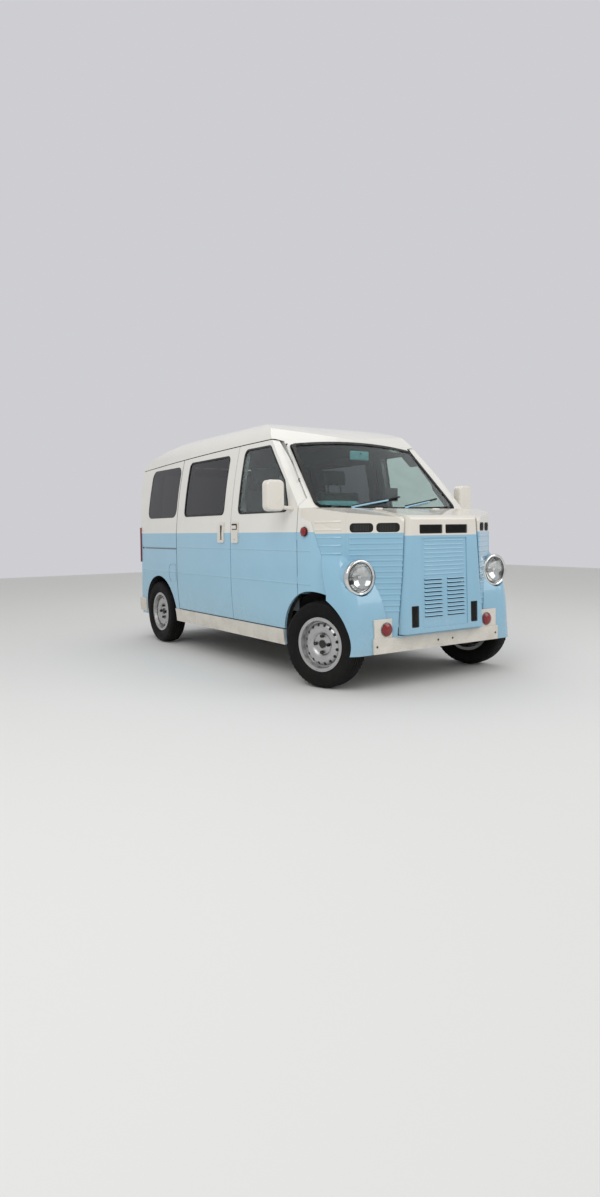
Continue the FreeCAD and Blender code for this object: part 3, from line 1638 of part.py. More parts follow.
def make_knuckle():
    """The right upright, drawn straight ahead: kingpin ends, strut tube, spring seat and steering arm."""
    low = kingpin_point(ball_joint_z)
    high = kingpin_point(strut_top_z)
    foot = Vector(front_axle_x, -strut_foot_y, strut_foot_z)
    half = upright_half
    plate = outline("yz", (low.y - half, ball_joint_z - half), [
        (low.y + half, ball_joint_z - half),
        (-kingpin_y + half * 2, tyre_radius),
        (-strut_foot_y + strut_radius, strut_foot_z - half * 2),
        (-strut_foot_y + strut_radius, strut_foot_z + half),
        (-strut_foot_y - strut_radius / 2, strut_foot_z + half),
        (-kingpin_y - half, tyre_radius + half * 2)], front_axle_x - half)
    upright = slab(plate, Vector(2 * half, 0, 0))
    strut = rod(foot, high - Vector(0, 0, half), strut_radius)
    seat = rod(kingpin_point(spring_low_z - spring_seat_thickness), kingpin_point(spring_low_z),
               spring_radius)
    pin = rod(kingpin_point(strut_top_z - half), kingpin_point(strut_top_z + tower_thickness),
              kingpin_pin_radius)
    arm = rod((front_axle_x, -kingpin_y + half, tyre_radius - half),
              (front_axle_x - steer_arm_length, -kingpin_y + half * 3, tyre_radius - half), steer_arm_radius)
    return joined([upright, strut, seat, pin, arm])


def ball_bore():
    """The bore for the lower ball pin, along the right steering axis."""
    return rod(kingpin_point(ball_joint_z - overrun), kingpin_point(ball_joint_z + upright_half),
               kingpin_pin_radius + spindle_clearance)


def steered(shape):
    """Turns the right knuckle about its steering axis to the angle of the photographed wheels."""
    copy = shape.copy()
    axis = kingpin_point(strut_top_z) - kingpin_point(ball_joint_z)
    copy.rotate(kingpin_point(tyre_radius), axis, photo_steer_deg)
    return copy


def make_spindle():
    """Spindle and brake disc in a wheel's own frame, outer side towards -Y."""
    inner_y = front_track / 2 - kingpin_y
    spindle = rod((0, inner_y, 0), (0, -hub_face + spindle_cover + spindle_end_gap, 0), spindle_radius)
    disc = rod((0, inner_y - brake_thickness * 2, 0), (0, inner_y - brake_thickness, 0), brake_radius)
    carrier = rod((0, inner_y + upright_half, 0), (0, inner_y - brake_thickness, 0), spindle_radius * 2)
    return spindle.fuse([disc, carrier])


def make_knuckles():
    right_spindle = set_wheel(make_spindle(), True, True)
    left_spindle = set_wheel(make_spindle(), True, False)
    right = joined([steered(make_knuckle()), right_spindle]).cut(ball_bore())
    straight = mirrored(make_knuckle())
    low = kingpin_point(ball_joint_z)
    high = kingpin_point(strut_top_z)
    axis = Vector(0, low.y - high.y, high.z - low.z)
    straight.rotate(Vector(front_axle_x, kingpin_y, tyre_radius), axis, photo_steer_deg)
    left = joined([straight, left_spindle]).cut(mirrored(ball_bore()))
    return right, left


def make_front_suspension():
    """Crossmember and lower arms with their ball pins."""
    middle_z = cross_low_z + cross_height / 2
    pieces = [box((front_axle_x - cross_width, -cross_half, cross_low_z),
                  (front_axle_x + cross_width, cross_half, cross_low_z + cross_height))]
    low = kingpin_point(ball_joint_z - arm_drop)
    pin = rod(low, kingpin_point(ball_joint_z + pin_rise), kingpin_pin_radius)
    arm = rod((front_axle_x, -cross_half + overrun, middle_z), low, lower_arm_radius)
    brace = rod((front_axle_x + arm_spread, -cross_half + overrun, middle_z), low, lower_arm_radius)
    link = box((front_axle_x, -cross_half, middle_z - lower_arm_radius),
               (front_axle_x + arm_spread + lower_arm_radius, -cross_half + overrun,
                middle_z + lower_arm_radius))
    for shape in (pin, Part.makeSphere(ball_radius, low), arm, brace, link):
        pieces += both_sides(shape)
    return joined(pieces)


def make_spring(low, high, outer_radius, bore, coils):
    """A coil spring drawn as a turned wave about the line from low to high."""
    length = (Vector(*high) - Vector(*low)).Length
    pitch = length / coils
    steps = []
    for index in range(coils):
        base = index * pitch
        steps.append((outer_radius, base + pitch * quarter_share))
        steps.append((outer_radius, base + pitch * half_share))
        steps.append((outer_radius - spring_wave, base + pitch * three_quarter_share))
        steps.append((outer_radius - spring_wave, base + pitch))
    steps.append((bore, length))
    steps.append((bore, 0.0))
    wire = outline("xz", (outer_radius - spring_wave, 0.0), steps)
    solid = Part.Face(wire).revolve(Vector(0, 0, 0), Vector(0, 0, 1), 360)
    along = Vector(*high) - Vector(*low)
    solid.Placement = FreeCAD.Placement(Vector(*low), FreeCAD.Rotation(Vector(0, 0, 1), along))
    return solid


def make_front_springs():
    """The coils between the seat on each strut and its tower."""
    lean = math.radians(kingpin_lean_deg)
    low = kingpin_point(spring_low_z + spring_gap)
    high = kingpin_point(strut_top_z - seat_gap - spring_radius * math.sin(lean))
    return both_sides(make_spring(low, high, spring_radius, spring_bore, coil_count))


def make_towers():
    """Shelves ahead of the scuttle that hold the tops of the front struts."""
    top = kingpin_point(strut_top_z)
    shelf = box((firewall_x - seat_gap, -front_tunnel_y - tower_reach, strut_top_z),
                (front_axle_x + tower_width, -front_tunnel_y + overrun, strut_top_z + tower_thickness))
    bore = rod(kingpin_point(strut_top_z - overrun), kingpin_point(strut_top_z + overrun),
               kingpin_pin_radius + spindle_clearance)
    return shelf.cut(bore)


# Frame, floor and running gear

def axle_notches():
    """Room for the axle tube in the rear wheel liners."""
    half = axle_radius + axle_notch
    notch = box((rear_axle_x - half, -rear_tunnel_y - overrun, 0.0),
                (rear_axle_x + half, -rear_tunnel_y + overrun, tyre_radius + half))
    return both_sides(notch)


def make_floor(inside, wheel_room):
    """Floor, seat box step, toe board, scuttle wall and shelf as one folded sheet, with wheel liners."""
    t = floor_thickness
    fold = outline("xz", (firewall_x, firewall_top_z), [
        (firewall_x, toe_z),
        (toe_x, front_floor_z),
        (seat_box_x, front_floor_z),
        (seat_box_x, rear_floor_z),
        (floor_rear_x, rear_floor_z),
        (floor_rear_x, rear_floor_z - t),
        (seat_box_x - t, rear_floor_z - t),
        (seat_box_x - t, front_floor_z - t),
        (toe_x + t / 2, front_floor_z - t),
        (firewall_x + t, toe_z - t / 2),
        (firewall_x + t, firewall_top_z - t),
        (cowl_rear_x, firewall_top_z - t),
        (cowl_rear_x, firewall_top_z)], -half_width)
    floor = slab(fold, Vector(0, 2 * half_width, 0)).common(inside)
    liner = front_tunnels(liner_thickness).cut(front_tunnels())
    liner = liner.common(box((0, -liner_outer_y, front_arch_z), (reach, 0, reach))).common(wheel_room)
    rear_liner = rear_tunnels(rear_liner_thickness).cut(rear_tunnels())
    rear_liner = rear_liner.common(box((-reach, -liner_outer_y, rear_arch_z), (0, 0, reach))).common(inside)
    pieces = [floor] + both_sides(liner) + both_sides(rear_liner)
    cuts = [bumper_shelf()] + axle_notches()
    for cut in (front_tunnels(), rear_tunnels(), strut_well(), pod_form(pod_radius + seat_gap, headlight_x)):
        cuts += both_sides(cut)
    shell = joined(pieces).cut(cuts)
    return joined([shell] + both_sides(make_towers()))


def make_frame():
    """Two side rails that kick up over the rear axle, with cross members."""
    low = rail_low_z
    high = low + rail_height
    rise = rear_floor_z - floor_thickness - seat_gap - high
    profile = outline("xz", (rail_front_x, low), [
        (rail_front_x, high),
        (kick_front_x, high),
        (kick_rear_x, high + rise),
        (rail_rear_x, high + rise),
        (rail_rear_x, low + rise),
        (kick_rear_x - kick_offset, low + rise),
        (kick_front_x - kick_offset, low)], -rail_y)
    pieces = both_sides(slab(profile, Vector(0, rail_width, 0)))
    for x, z in ((rail_front_x - cross_width, low), (seat_box_x, low), (rail_rear_x, low + rise),
                 (kick_rear_x - cross_width * 2, low + rise)):
        pieces.append(box((x, -rail_y + rail_width / 2, z + cross_lift),
                          (x + cross_width, rail_y - rail_width / 2, z + rail_height - cross_lift)))
    for sign in (-1, 1):
        inner = sign * (cross_half - cross_width)
        outer = sign * rail_y
        pieces.append(box((front_axle_x - cross_width, min(inner, outer),
                           cross_low_z + cross_height + seat_gap),
                          (front_axle_x + cross_width, max(inner, outer), low + seat_gap)))
    return joined(pieces)


def make_engine():
    """The engine block with its gearbox and mounts, laid down under the front seats."""
    block = box((engine_rear_x, -engine_half, engine_low_z), (engine_front_x, engine_half, engine_high_z))
    gearbox = rod((engine_rear_x + seat_gap, 0, shaft_z), (gearbox_rear_x, 0, shaft_z), gearbox_radius)
    reach_y = rail_y - rail_width - seat_gap
    mount = rod((engine_mount_x, -reach_y, engine_mount_z), (engine_mount_x, reach_y, engine_mount_z),
                engine_mount_radius)
    return joined([block, gearbox, mount])


def make_rear_axle():
    """Live axle with differential, drums, spring seats, trailing arms and the propeller shaft."""
    half = rear_track / 2
    x = rear_axle_x
    z = tyre_radius
    arm_z = rail_low_z - lower_arm_radius - seat_gap
    pieces = [rod((x, -half + drum_inner, z), (x, half - drum_inner, z), axle_radius),
              Part.makeSphere(diff_radius, Vector(x, 0, z)),
              rod((x, 0, z), (x + diff_radius + overrun / 2, 0, z), axle_radius),
              rod((x + diff_radius, 0, z), (gearbox_rear_x - shaft_stub, 0, shaft_z), shaft_radius),
              rod((gearbox_rear_x - shaft_stub, 0, shaft_z), (gearbox_rear_x - seat_gap, 0, shaft_z),
                  shaft_radius)]
    for sign in (-1, 1):
        inner = sign * (half - drum_inner - drum_width)
        outer = sign * (half - drum_inner)
        tip = sign * (half + hub_face - spindle_cover - spindle_end_gap)
        seat_y = sign * rear_spring_y
        pieces += [rod((x, inner, z), (x, outer, z), brake_radius),
                   rod((x, inner, z), (x, tip, z), spindle_radius),
                   rod((x, seat_y, z), (x, seat_y, z + axle_radius + spring_seat_thickness), spring_radius),
                   rod((rear_arm_front_x, seat_y, arm_z), (x, seat_y, z), lower_arm_radius)]
    return joined(pieces)


def make_rear_springs():
    low_z = tyre_radius + axle_radius + spring_seat_thickness + seat_gap
    high_z = rear_floor_z - floor_thickness - rail_height - seat_gap * 2
    return both_sides(make_spring((rear_axle_x, -rear_spring_y, low_z), (rear_axle_x, -rear_spring_y, high_z),
                                  spring_radius, spring_bore, coil_count))


def make_tank():
    tank = box((tank_rear_x, -tank_outer_y, tank_low_z), (tank_front_x, -tank_inner_y, tank_high_z))
    edges = [edge for edge in tank.Edges
             if abs(edge.BoundBox.YLength) < seat_gap and abs(edge.BoundBox.ZLength) < seat_gap]
    return tank.makeFillet(tank_radius, edges)


def make_exhaust():
    """Pipe along the engine, silencer, and a tail pipe that rises over the axle and passes the apron."""
    y = exhaust_y
    route = [(muffler_rear_x + seat_gap, exhaust_z + muffler_radius / 2), (tail_rise_x, tail_pipe_high_z),
             (tail_fall_x, tail_pipe_high_z), (tail_low_x, tail_pipe_low_z), (tail_pipe_x, tail_pipe_low_z)]
    pieces = [rod((engine_rear_x + overrun, y, exhaust_z), (muffler_front_x - seat_gap, y, exhaust_z),
                  exhaust_radius),
              rod((muffler_front_x, y, exhaust_z + muffler_radius / 2),
                  (muffler_rear_x, y, exhaust_z + muffler_radius / 2), muffler_radius)]
    for (start_x, start_z), (end_x, end_z) in zip(route, route[1:]):
        pieces.append(rod((start_x, y, start_z), (end_x, y, end_z), exhaust_radius))
        pieces.append(Part.makeSphere(exhaust_radius, Vector(start_x, y, start_z)))
    return joined(pieces)


# Cabin

def make_dashboard():
    profile = outline("xz", (dash_front_x, dash_low_z), [
        (dash_front_x, dash_top_z),
        ((dash_mid_x, dash_top_z + dash_crown), (dash_rear_x + dash_lip, dash_lip_z)),
        ((dash_rear_x + dash_lip / 4, dash_lip_z - dash_lip / 2), (dash_rear_x, dash_lip_z - dash_lip * 2)),
        (dash_rear_x + dash_lip, dash_low_z)], -dash_half)
    return slab(profile, Vector(0, 2 * dash_half, 0))


def make_steering_wheel(dashboard):
    """Rim, three spokes, boss and column of the right-hand steering wheel, down to the dashboard."""
    lean = math.radians(column_lean_deg)
    normal = Vector(-math.cos(lean), 0, math.sin(lean))
    centre = Vector(steering_x, driver_y, steering_z)
    pieces = [Part.makeTorus(wheel_rim_radius, wheel_rim_section, centre, normal),
              rod(centre - normal * hub_drop, centre, boss_radius),
              rod(centre - normal * column_length, centre - normal * hub_drop / 2, column_radius)]
    for angle in (90.0, 180.0, 270.0):
        turn = FreeCAD.Rotation(normal, angle)
        spoke = turn.multVec(Vector(math.sin(lean), 0, math.cos(lean)) * wheel_rim_radius)
        pieces.append(rod(centre - normal * hub_drop / 2, centre + spoke, spoke_radius))
    return joined(pieces).cut(dashboard)


def cushion(points, low, width, radius):
    """A soft block with a rounded outline seen from the side."""
    block = Part.Face(rounded("xz", points, radius, low)).extrude(Vector(0, width, 0))
    return block


def make_seats():
    """Two front seats and the rear bench, as plain closed cushions."""
    pieces = []
    for centre in (driver_y, -driver_y):
        pieces += seat_set(seat_front_x, seat_length, centre - seat_width / 2, seat_width, seat_base_z,
                           back_top_z, True)
    pieces += seat_set(bench_front_x, bench_length, -bench_half, 2 * bench_half, bench_base_z, bench_top_z,
                       False)
    return pieces


def seat_set(front, length, low_y, width, base, top, with_rest):
    """A seat cushion on its plinth and a leaning back, with a headrest for the front seats."""
    rear = front - length
    cushion_top = base + seat_height
    lean = math.tan(math.radians(back_lean_deg))
    foot = cushion_top + seat_gap
    top_x = rear - (top - foot) * lean
    seat = cushion([(rear, base), (rear, cushion_top), (front, cushion_top), (front, base)], low_y, width,
                   seat_edge)
    plinth = box((rear + seat_edge, low_y + seat_edge, rear_floor_z + seat_gap),
                 (min(front, seat_box_x) - seat_edge, low_y + width - seat_edge, base + seat_edge))
    back = cushion([(rear, foot), (top_x, top), (top_x + back_thickness * back_top_share, top),
                    (rear + back_thickness, foot)], low_y, width, seat_edge)
    pieces = [seat.fuse(plinth), back]
    if with_rest:
        low = top + headrest_gap
        middle_y = low_y + width / 2
        stalk_x = top_x + headrest_depth / 3
        rest = cushion([(top_x - headrest_gap / 2, low), (top_x - headrest_gap, low + headrest_height),
                        (top_x + headrest_depth / 2, low + headrest_height),
                        (top_x + headrest_depth * three_quarter_share, low)],
                       middle_y - headrest_width / 2, headrest_width, seat_edge * half_share)
        stalks = []
        for side in (-1, 1):
            y = middle_y + side * headrest_width * quarter_share
            stalks.append(rod((stalk_x, y, top - seat_edge), (stalk_x, y, low + seat_edge), stalk_radius))
        pieces[1] = joined([back, rest] + stalks)
    return pieces


def make_inside_mirror():
    x = screen_x(mirror_inside_z, 0.0) - mirror_inside_back
    body = cushion([(x, mirror_inside_z - mirror_inside_height / 2),
                    (x, mirror_inside_z + mirror_inside_height / 2),
                    (x + mirror_inside_depth, mirror_inside_z + mirror_inside_height / 2),
                    (x + mirror_inside_depth, mirror_inside_z - mirror_inside_height / 2)],
                   -mirror_inside_width / 2, mirror_inside_width, mirror_inside_depth * quarter_share)
    top = mirror_inside_z + mirror_inside_height / 4
    glass_x = screen_x(top + mirror_stem_radius, 0.0) - glass_inset - glass_thickness - seat_gap
    stem = rod((x + mirror_inside_depth / 2, 0, top), (glass_x, 0, top), mirror_stem_radius)
    return joined([body, stem])


# Small outside pieces

def make_mirror():
    """The right door mirror: a rounded shell on an arm from the front corner of the window."""
    half = mirror_width / 2
    points = [(-half, mirror_low_z), (-half, mirror_high_z), (half, mirror_high_z), (half, mirror_low_z)]
    shifted = [(y - mirror_y, z) for y, z in points]
    face = Part.Face(rounded("yz", shifted, mirror_radius, mirror_x - mirror_depth / 2))
    shell = face.extrude(Vector(mirror_depth, 0, 0))
    edges = [edge for edge in shell.Edges if abs(edge.BoundBox.XMax - edge.BoundBox.XMin) < seat_gap
             and edge.BoundBox.XMax > mirror_x]
    shell = shell.makeFillet(mirror_round, edges)
    arm_z = mirror_low_z + mirror_arm_radius
    arm = rod((mirror_x, -mirror_y + half - mirror_radius, arm_z + mirror_radius / 2),
              (mirror_x + mirror_arm_shift, -half_width + mirror_foot_sink, arm_z), mirror_arm_radius)
    mirror = joined([shell, arm])
    return mirror.cut(body_form(-seat_gap, 0.0, 0.0, 0.0))


def handle_plate(x):
    """A flat plate round a door handle, standing on the door's skin."""
    points = [(x - handle_width / 2, handle_low_z), (x - handle_width / 2, handle_high_z),
              (x + handle_width / 2, handle_high_z), (x + handle_width / 2, handle_low_z)]
    form = body_form(-handle_proud, 0.0, 0.0, 0.0).cut(body_form(-seat_gap, 0.0, 0.0, 0.0))
    return form.common(side_prism(points, handle_radius))


def blade_point(y, z, lift):
    return Vector(screen_x(z, y) + lift, y, z)


def bent_rod(start, middle, end, radius):
    path = Part.Arc(start, middle, end).toShape()
    section = Part.makeCircle(radius, start, path.tangentAt(path.FirstParameter))
    return Part.Wire([path]).makePipeShell([Part.Wire([section])], True, True)


def make_wipers():
    """Two wiper arms with blades, lying along the foot of the windscreen."""
    arms = []
    blades = []
    for pivot_y, length in ((wiper_pivot_right, wiper_length_right), (wiper_pivot_left, wiper_length_left)):
        slope = wiper_slope_share
        base = blade_point(pivot_y, wiper_pivot_z, wiper_lift * 2)
        tip = blade_point(pivot_y + length, wiper_pivot_z + length * slope, wiper_lift)
        middle_y = pivot_y + length * blade_middle_share
        low_y = middle_y - length * blade_start_share
        high_y = middle_y + length * blade_end_share
        low_z = wiper_pivot_z + wiper_drop
        high_z = low_z + (high_y - low_y) * slope
        foot = rod((base.x, pivot_y, wiper_foot_z), (base.x, pivot_y, wiper_pivot_z + wiper_radius),
                   wiper_radius * 2)
        arm = rod(base, tip, wiper_radius)
        arms.append(joined([foot, arm]))
        blade = bent_rod(blade_point(low_y, low_z, wiper_blade_lift),
                         blade_point((low_y + high_y) / 2, (low_z + high_z) / 2, wiper_blade_lift),
                         blade_point(high_y, high_z, wiper_blade_lift), wiper_radius)
        blades.append(blade.cut(rod(base, tip, wiper_radius + seat_gap)))
    return arms, blades


# Whole vehicle

def make_body():
    """Panels, doors, flaps, glass and what is fitted to the outside."""
    outer, door_back, flange_back, inner = make_shells()
    layer = make_glass_layer()
    roof = make_roof(outer, inner)
    side = largest(make_side(outer, flange_back, inner).cut(fuel_lid_groove()))
    door = door_solid(outer, door_back, front_door_points(), 0.0, front_window_points(), window_radius)
    sliding = door_solid(outer, door_back, sliding_door_points(), 0.0, sliding_window_points(), window_radius)
    sliding = joined([sliding] + make_guides())
    window = front_prism(tailgate_window_points(), window_radius, -half_length - overrun, half_length / 2)
    gate = outer.cut(door_back).common(gate_prism()).cut(window)
    nose = make_nose()
    lid = make_lid()
    side, door = hang_door(side, door)
    nose, lid = hang_lid(nose, lid)
    roof, gate = hang_tailgate(roof, gate)
    save("roof", roof)
    save("side_right", side)
    save("side_left", mirrored(side))
    save("door_right", door)
    save("door_left", mirrored(door))
    save("sliding_door_right", sliding)
    save("sliding_door_left", mirrored(sliding))
    save("tailgate", gate)
    save("nose_shell", nose)
    save("nose_lid", lid)
    save("lid_meshes", lid_meshes())
    save("intake_meshes", [shape for mesh in corner_vent_meshes() for shape in both_sides(mesh)])
    door_glass = layer.common(side_prism(front_window_points(), window_radius, -seat_gap))
    save("door_glass_right", door_glass)
    save("door_glass_left", mirrored(door_glass))
    panes = []
    for points, radius in ((sliding_window_points(), window_radius),
                           (quarter_window_points(), quarter_radius)):
        panes += both_sides(layer.common(side_prism(points, radius, -seat_gap)))
    save("side_glass", panes)
    window = front_prism(tailgate_window_points(), window_radius, -half_length - overrun, half_length / 2,
                         -seat_gap)
    save("tailgate_glass", layer.common(window))
    screen = screen_layer(-glass_inset - glass_thickness, -glass_inset, waist_z - overrun, overall_height)
    save("windscreen", screen.common(screen_prism(seat_gap)))
    save("bumpers", [make_front_bumper(), make_rear_bumper(outer)])
    handles = both_sides(handle_plate(sliding_handle_x))
    save("side_trim", make_skirts(outer) + handles)
    mirror = [make_mirror(), handle_plate(door_handle_x)]
    save("door_mirror_right", mirror)
    save("door_mirror_left", [mirrored(shape) for shape in mirror])


def make_lamps_and_wipers():
    save("headlights", make_headlights())
    save("headlight_lenses", make_lenses())
    save("signal_lamps", make_signal_lamps())
    arms, blades = make_wipers()
    save("wiper_arms", arms)
    save("wiper_blades", blades)


def make_running_gear():
    """Wheels, axles, suspension, frame and drive."""
    rim = make_rim()
    tyre = make_tyre()
    for name, front, right in (("front_right", True, True), ("front_left", True, False),
                               ("rear_right", False, True), ("rear_left", False, False)):
        save("rim_" + name, set_wheel(rim, front, right))
        save("tyre_" + name, set_wheel(tyre, front, right))
    right, left = make_knuckles()
    save("knuckle_right", right)
    save("knuckle_left", left)
    save("front_suspension", [make_front_suspension()] + make_front_springs())
    save("rear_axle", [make_rear_axle()] + make_rear_springs())
    save("chassis_frame", make_frame())
    save("engine_block", make_engine())
    save("fuel_tank", make_tank())
    save("exhaust", make_exhaust())


def make_cabin():
    """Floor and what stands in the cabin."""
    inside = body_form(side_wall + seat_gap, roof_wall, rear_wall + seat_gap, roof_wall)
    dashboard = make_dashboard()
    wing = wing_form(nose_wall + seat_gap).common(nose_space(-seat_gap))
    save("floor_pan", make_floor(inside, inside.fuse(both_sides(wing))))
    save("dashboard", dashboard)
    save("steering_wheel", make_steering_wheel(dashboard))
    save("seats", make_seats())
    save("interior_mirror", make_inside_mirror())


make_body()
make_lamps_and_wipers()
make_running_gear()
make_cabin()
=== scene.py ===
import math

import bmesh
import bpy
from mathutils import Matrix, Vector


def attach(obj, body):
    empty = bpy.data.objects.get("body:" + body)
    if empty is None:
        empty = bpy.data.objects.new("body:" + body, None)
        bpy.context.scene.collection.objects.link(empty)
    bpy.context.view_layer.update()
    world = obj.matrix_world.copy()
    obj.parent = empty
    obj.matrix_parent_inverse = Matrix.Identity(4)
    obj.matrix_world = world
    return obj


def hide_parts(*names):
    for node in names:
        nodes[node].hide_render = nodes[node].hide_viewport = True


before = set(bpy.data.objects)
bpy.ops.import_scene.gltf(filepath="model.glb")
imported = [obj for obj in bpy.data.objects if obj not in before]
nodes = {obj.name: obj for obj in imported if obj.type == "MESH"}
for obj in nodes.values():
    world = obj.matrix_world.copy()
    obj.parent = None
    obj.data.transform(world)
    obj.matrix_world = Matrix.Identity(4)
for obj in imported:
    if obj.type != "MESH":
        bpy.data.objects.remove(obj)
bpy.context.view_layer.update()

# All lengths are in metres. Heights of the two-tone line
side_line = 0.958
corner_line = 0.948
lid_line = 0.930
line_blur = 0.0008

# The outer side surface, which leans in above its waist and below its foot
side_half_width = 0.7375
foot_half_width = 0.704
foot_z = 0.226
belly_z = 0.62
waist_z = 0.95
eaves_z = 1.59
lean_in = 0.0385
lean_curve = 0.057
gap_rear_x = -1.38
gap_front_x = 1.13
pillar_slope = 0.955
pillar_offset = 2.15
gap_depths = (0.008, 0.011)

# The corner panels stand square to (panel_x, panel_y), and their vents lie between two distances along them
panel_x = 0.8506
panel_y = 0.526
panel_offset = 1.578
corner_vent_span = (-0.556, -0.247)
corner_vent_heights = (0.945, 1.012)
corner_pocket_depths = (0.004, 0.012)

# The lid's face leans back, and has openings in a wide low field and a narrow high one
lid_face_x = 1.6878
lid_slope = 0.0232
lid_pocket_depths = (0.0065, 0.012)
lid_field_z = 0.52
lid_field_top = 1.0
low_field_y = 0.29
high_field_y = 0.21

# Pressed lines
crease_heights = (0.842, 0.633)
crease_half = 0.007
crease_ends = (-1.5, 1.25)
seam_low = (1.418, 0.575)
seam_high = (1.262, 1.020)
seam_widths = (0.0028, 0.0018)


def srgb(red, green, blue):
    """A colour as it shows on a screen, turned into the linear one that a shader takes."""
    def linear(value):
        share = value / 255
        return share / 12.92 if share <= 0.04045 else ((share + 0.055) / 1.055) ** 2.4
    return (linear(red), linear(green), linear(blue), 1.0)


light_blue = srgb(146, 190, 212)
# shaded_blue is light_blue darkened as painted shade for the nose panels.
shaded_blue = srgb(138, 182, 205)
warm_white = srgb(224, 222, 215)
# A dimmer white, for the nose, lid and trim.
dim_white = srgb(218, 213, 203)
turquoise = srgb(128, 204, 214)
white = (1.0, 1.0, 1.0, 1.0)
# Painted shade, for the faces deep in gaps and pockets.
gap_shade = srgb(26, 26, 27)
trim_grey = srgb(50, 52, 55)
liner_grey = srgb(66, 68, 68)


def dimmed(colour, share):
    return tuple(value * share for value in colour[:3]) + (1.0,)


# Node groups

def new_group(name, inputs, outputs):
    tree = bpy.data.node_groups.new(name, "ShaderNodeTree")
    for label, kind, value in inputs:
        socket = tree.interface.new_socket(name=label, in_out="INPUT", socket_type=kind)
        socket.default_value = value
    for label, kind in outputs:
        tree.interface.new_socket(name=label, in_out="OUTPUT", socket_type=kind)
    return tree, tree.nodes.new("NodeGroupInput"), tree.nodes.new("NodeGroupOutput")


def noise_in(tree, vector, scale, detail=3.0):
    node = tree.nodes.new("ShaderNodeTexNoise")
    node.inputs["Detail"].default_value = detail
    tree.links.new(vector, node.inputs["Vector"])
    if isinstance(scale, float):
        node.inputs["Scale"].default_value = scale
    else:
        tree.links.new(scale, node.inputs["Scale"])
    return node


def ranged(tree, value, low, high, to_low=0.0, to_high=1.0):
    node = tree.nodes.new("ShaderNodeMapRange")
    for label, setting in (("From Min", low), ("From Max", high), ("To Min", to_low), ("To Max", to_high)):
        if isinstance(setting, float):
            node.inputs[label].default_value = setting
        else:
            tree.links.new(setting, node.inputs[label])
    tree.links.new(value, node.inputs["Value"])
    return node.outputs["Result"]


def blended(tree, factor, first, second, mode="MIX"):
    node = tree.nodes.new("ShaderNodeMix")
    node.data_type = "RGBA"
    node.blend_type = mode
    if isinstance(factor, float):
        node.inputs["Factor"].default_value = factor
    else:
        tree.links.new(factor, node.inputs["Factor"])
    for index, colour in ((6, first), (7, second)):
        if isinstance(colour, tuple):
            node.inputs[index].default_value = colour
        else:
            tree.links.new(colour, node.inputs[index])
    return node.outputs[2]


def math_node(tree, operation, first, second):
    node = tree.nodes.new("ShaderNodeMath")
    node.operation = operation
    for index, value in enumerate((first, second)):
        if isinstance(value, float):
            node.inputs[index].default_value = value
        else:
            tree.links.new(value, node.inputs[index])
    return node.outputs[0]


def times(tree, first, second):
    return math_node(tree, "MULTIPLY", first, second)


def plus(tree, first, second):
    return math_node(tree, "ADD", first, second)


def minus(tree, first, second):
    return math_node(tree, "SUBTRACT", first, second)


def over(tree, value, floor):
    return math_node(tree, "GREATER_THAN", value, floor)


def within(tree, value, low, high):
    return times(tree, over(tree, value, low), over(tree, high, value))


def larger(tree, first, second):
    return math_node(tree, "MAXIMUM", first, second)


def size_of(tree, value):
    return math_node(tree, "ABSOLUTE", value, 0.0)


def object_space(tree, output="Object"):
    return tree.nodes.new("ShaderNodeTexCoord").outputs[output]


def split_up(tree, vector):
    """The three coordinates of a vector."""
    split = tree.nodes.new("ShaderNodeSeparateXYZ")
    tree.links.new(vector, split.inputs[0])
    return split.outputs["X"], split.outputs["Y"], split.outputs["Z"]


def road_dust_group():
    """Pale dust in patches and specks, thicker near the ground and gone above its top height."""
    tree, entry, result = new_group("road_dust", [
        ("Color", "NodeSocketColor", white),
        ("Dust Color", "NodeSocketColor", srgb(150, 140, 124)),
        ("Amount", "NodeSocketFloat", 0.3),
        ("Top", "NodeSocketFloat", 0.55),
    ], [("Color", "NodeSocketColor"), ("Mask", "NodeSocketFloat")])
    place = object_space(tree)
    low = ranged(tree, split_up(tree, place)[2], entry.outputs["Top"], 0.05)
    patches = ranged(tree, noise_in(tree, place, 9.0, 6.0).outputs["Fac"], 0.35, 0.7)
    specks = ranged(tree, noise_in(tree, place, 160.0, 2.0).outputs["Fac"], 0.45, 0.75)
    mask = times(tree, times(tree, low, plus(tree, patches, specks)), entry.outputs["Amount"])
    dusty = blended(tree, mask, entry.outputs["Color"], entry.outputs["Dust Color"])
    tree.links.new(dusty, result.inputs["Color"])
    tree.links.new(mask, result.inputs["Mask"])
    return tree


def orange_peel_group():
    """The slight waviness of sprayed paint: a height, and a mask of finer and duller patches."""
    tree, entry, result = new_group("orange_peel", [
        ("Scale", "NodeSocketFloat", 260.0),
    ], [("Height", "NodeSocketFloat"), ("Mask", "NodeSocketFloat")])
    place = object_space(tree)
    fine = noise_in(tree, place, entry.outputs["Scale"], 1.0)
    broad = noise_in(tree, place, 5.0, 3.0)
    tree.links.new(fine.outputs["Fac"], result.inputs["Height"])
    tree.links.new(ranged(tree, broad.outputs["Fac"], 0.3, 0.7), result.inputs["Mask"])
    return tree


def grain_group():
    """A moulded or cast grain: pits at one scale, and blotches twelve times as large."""
    tree, entry, result = new_group("moulded_grain", [
        ("Scale", "NodeSocketFloat", 700.0),
    ], [("Height", "NodeSocketFloat"), ("Mask", "NodeSocketFloat")])
    place = object_space(tree)
    pits = tree.nodes.new("ShaderNodeTexVoronoi")
    tree.links.new(place, pits.inputs["Vector"])
    tree.links.new(entry.outputs["Scale"], pits.inputs["Scale"])
    patches = noise_in(tree, place, math_node(tree, "DIVIDE", entry.outputs["Scale"], 12.0), 5.0)
    tree.links.new(pits.outputs["Distance"], result.inputs["Height"])
    tree.links.new(ranged(tree, patches.outputs["Fac"], 0.3, 0.7), result.inputs["Mask"])
    return tree


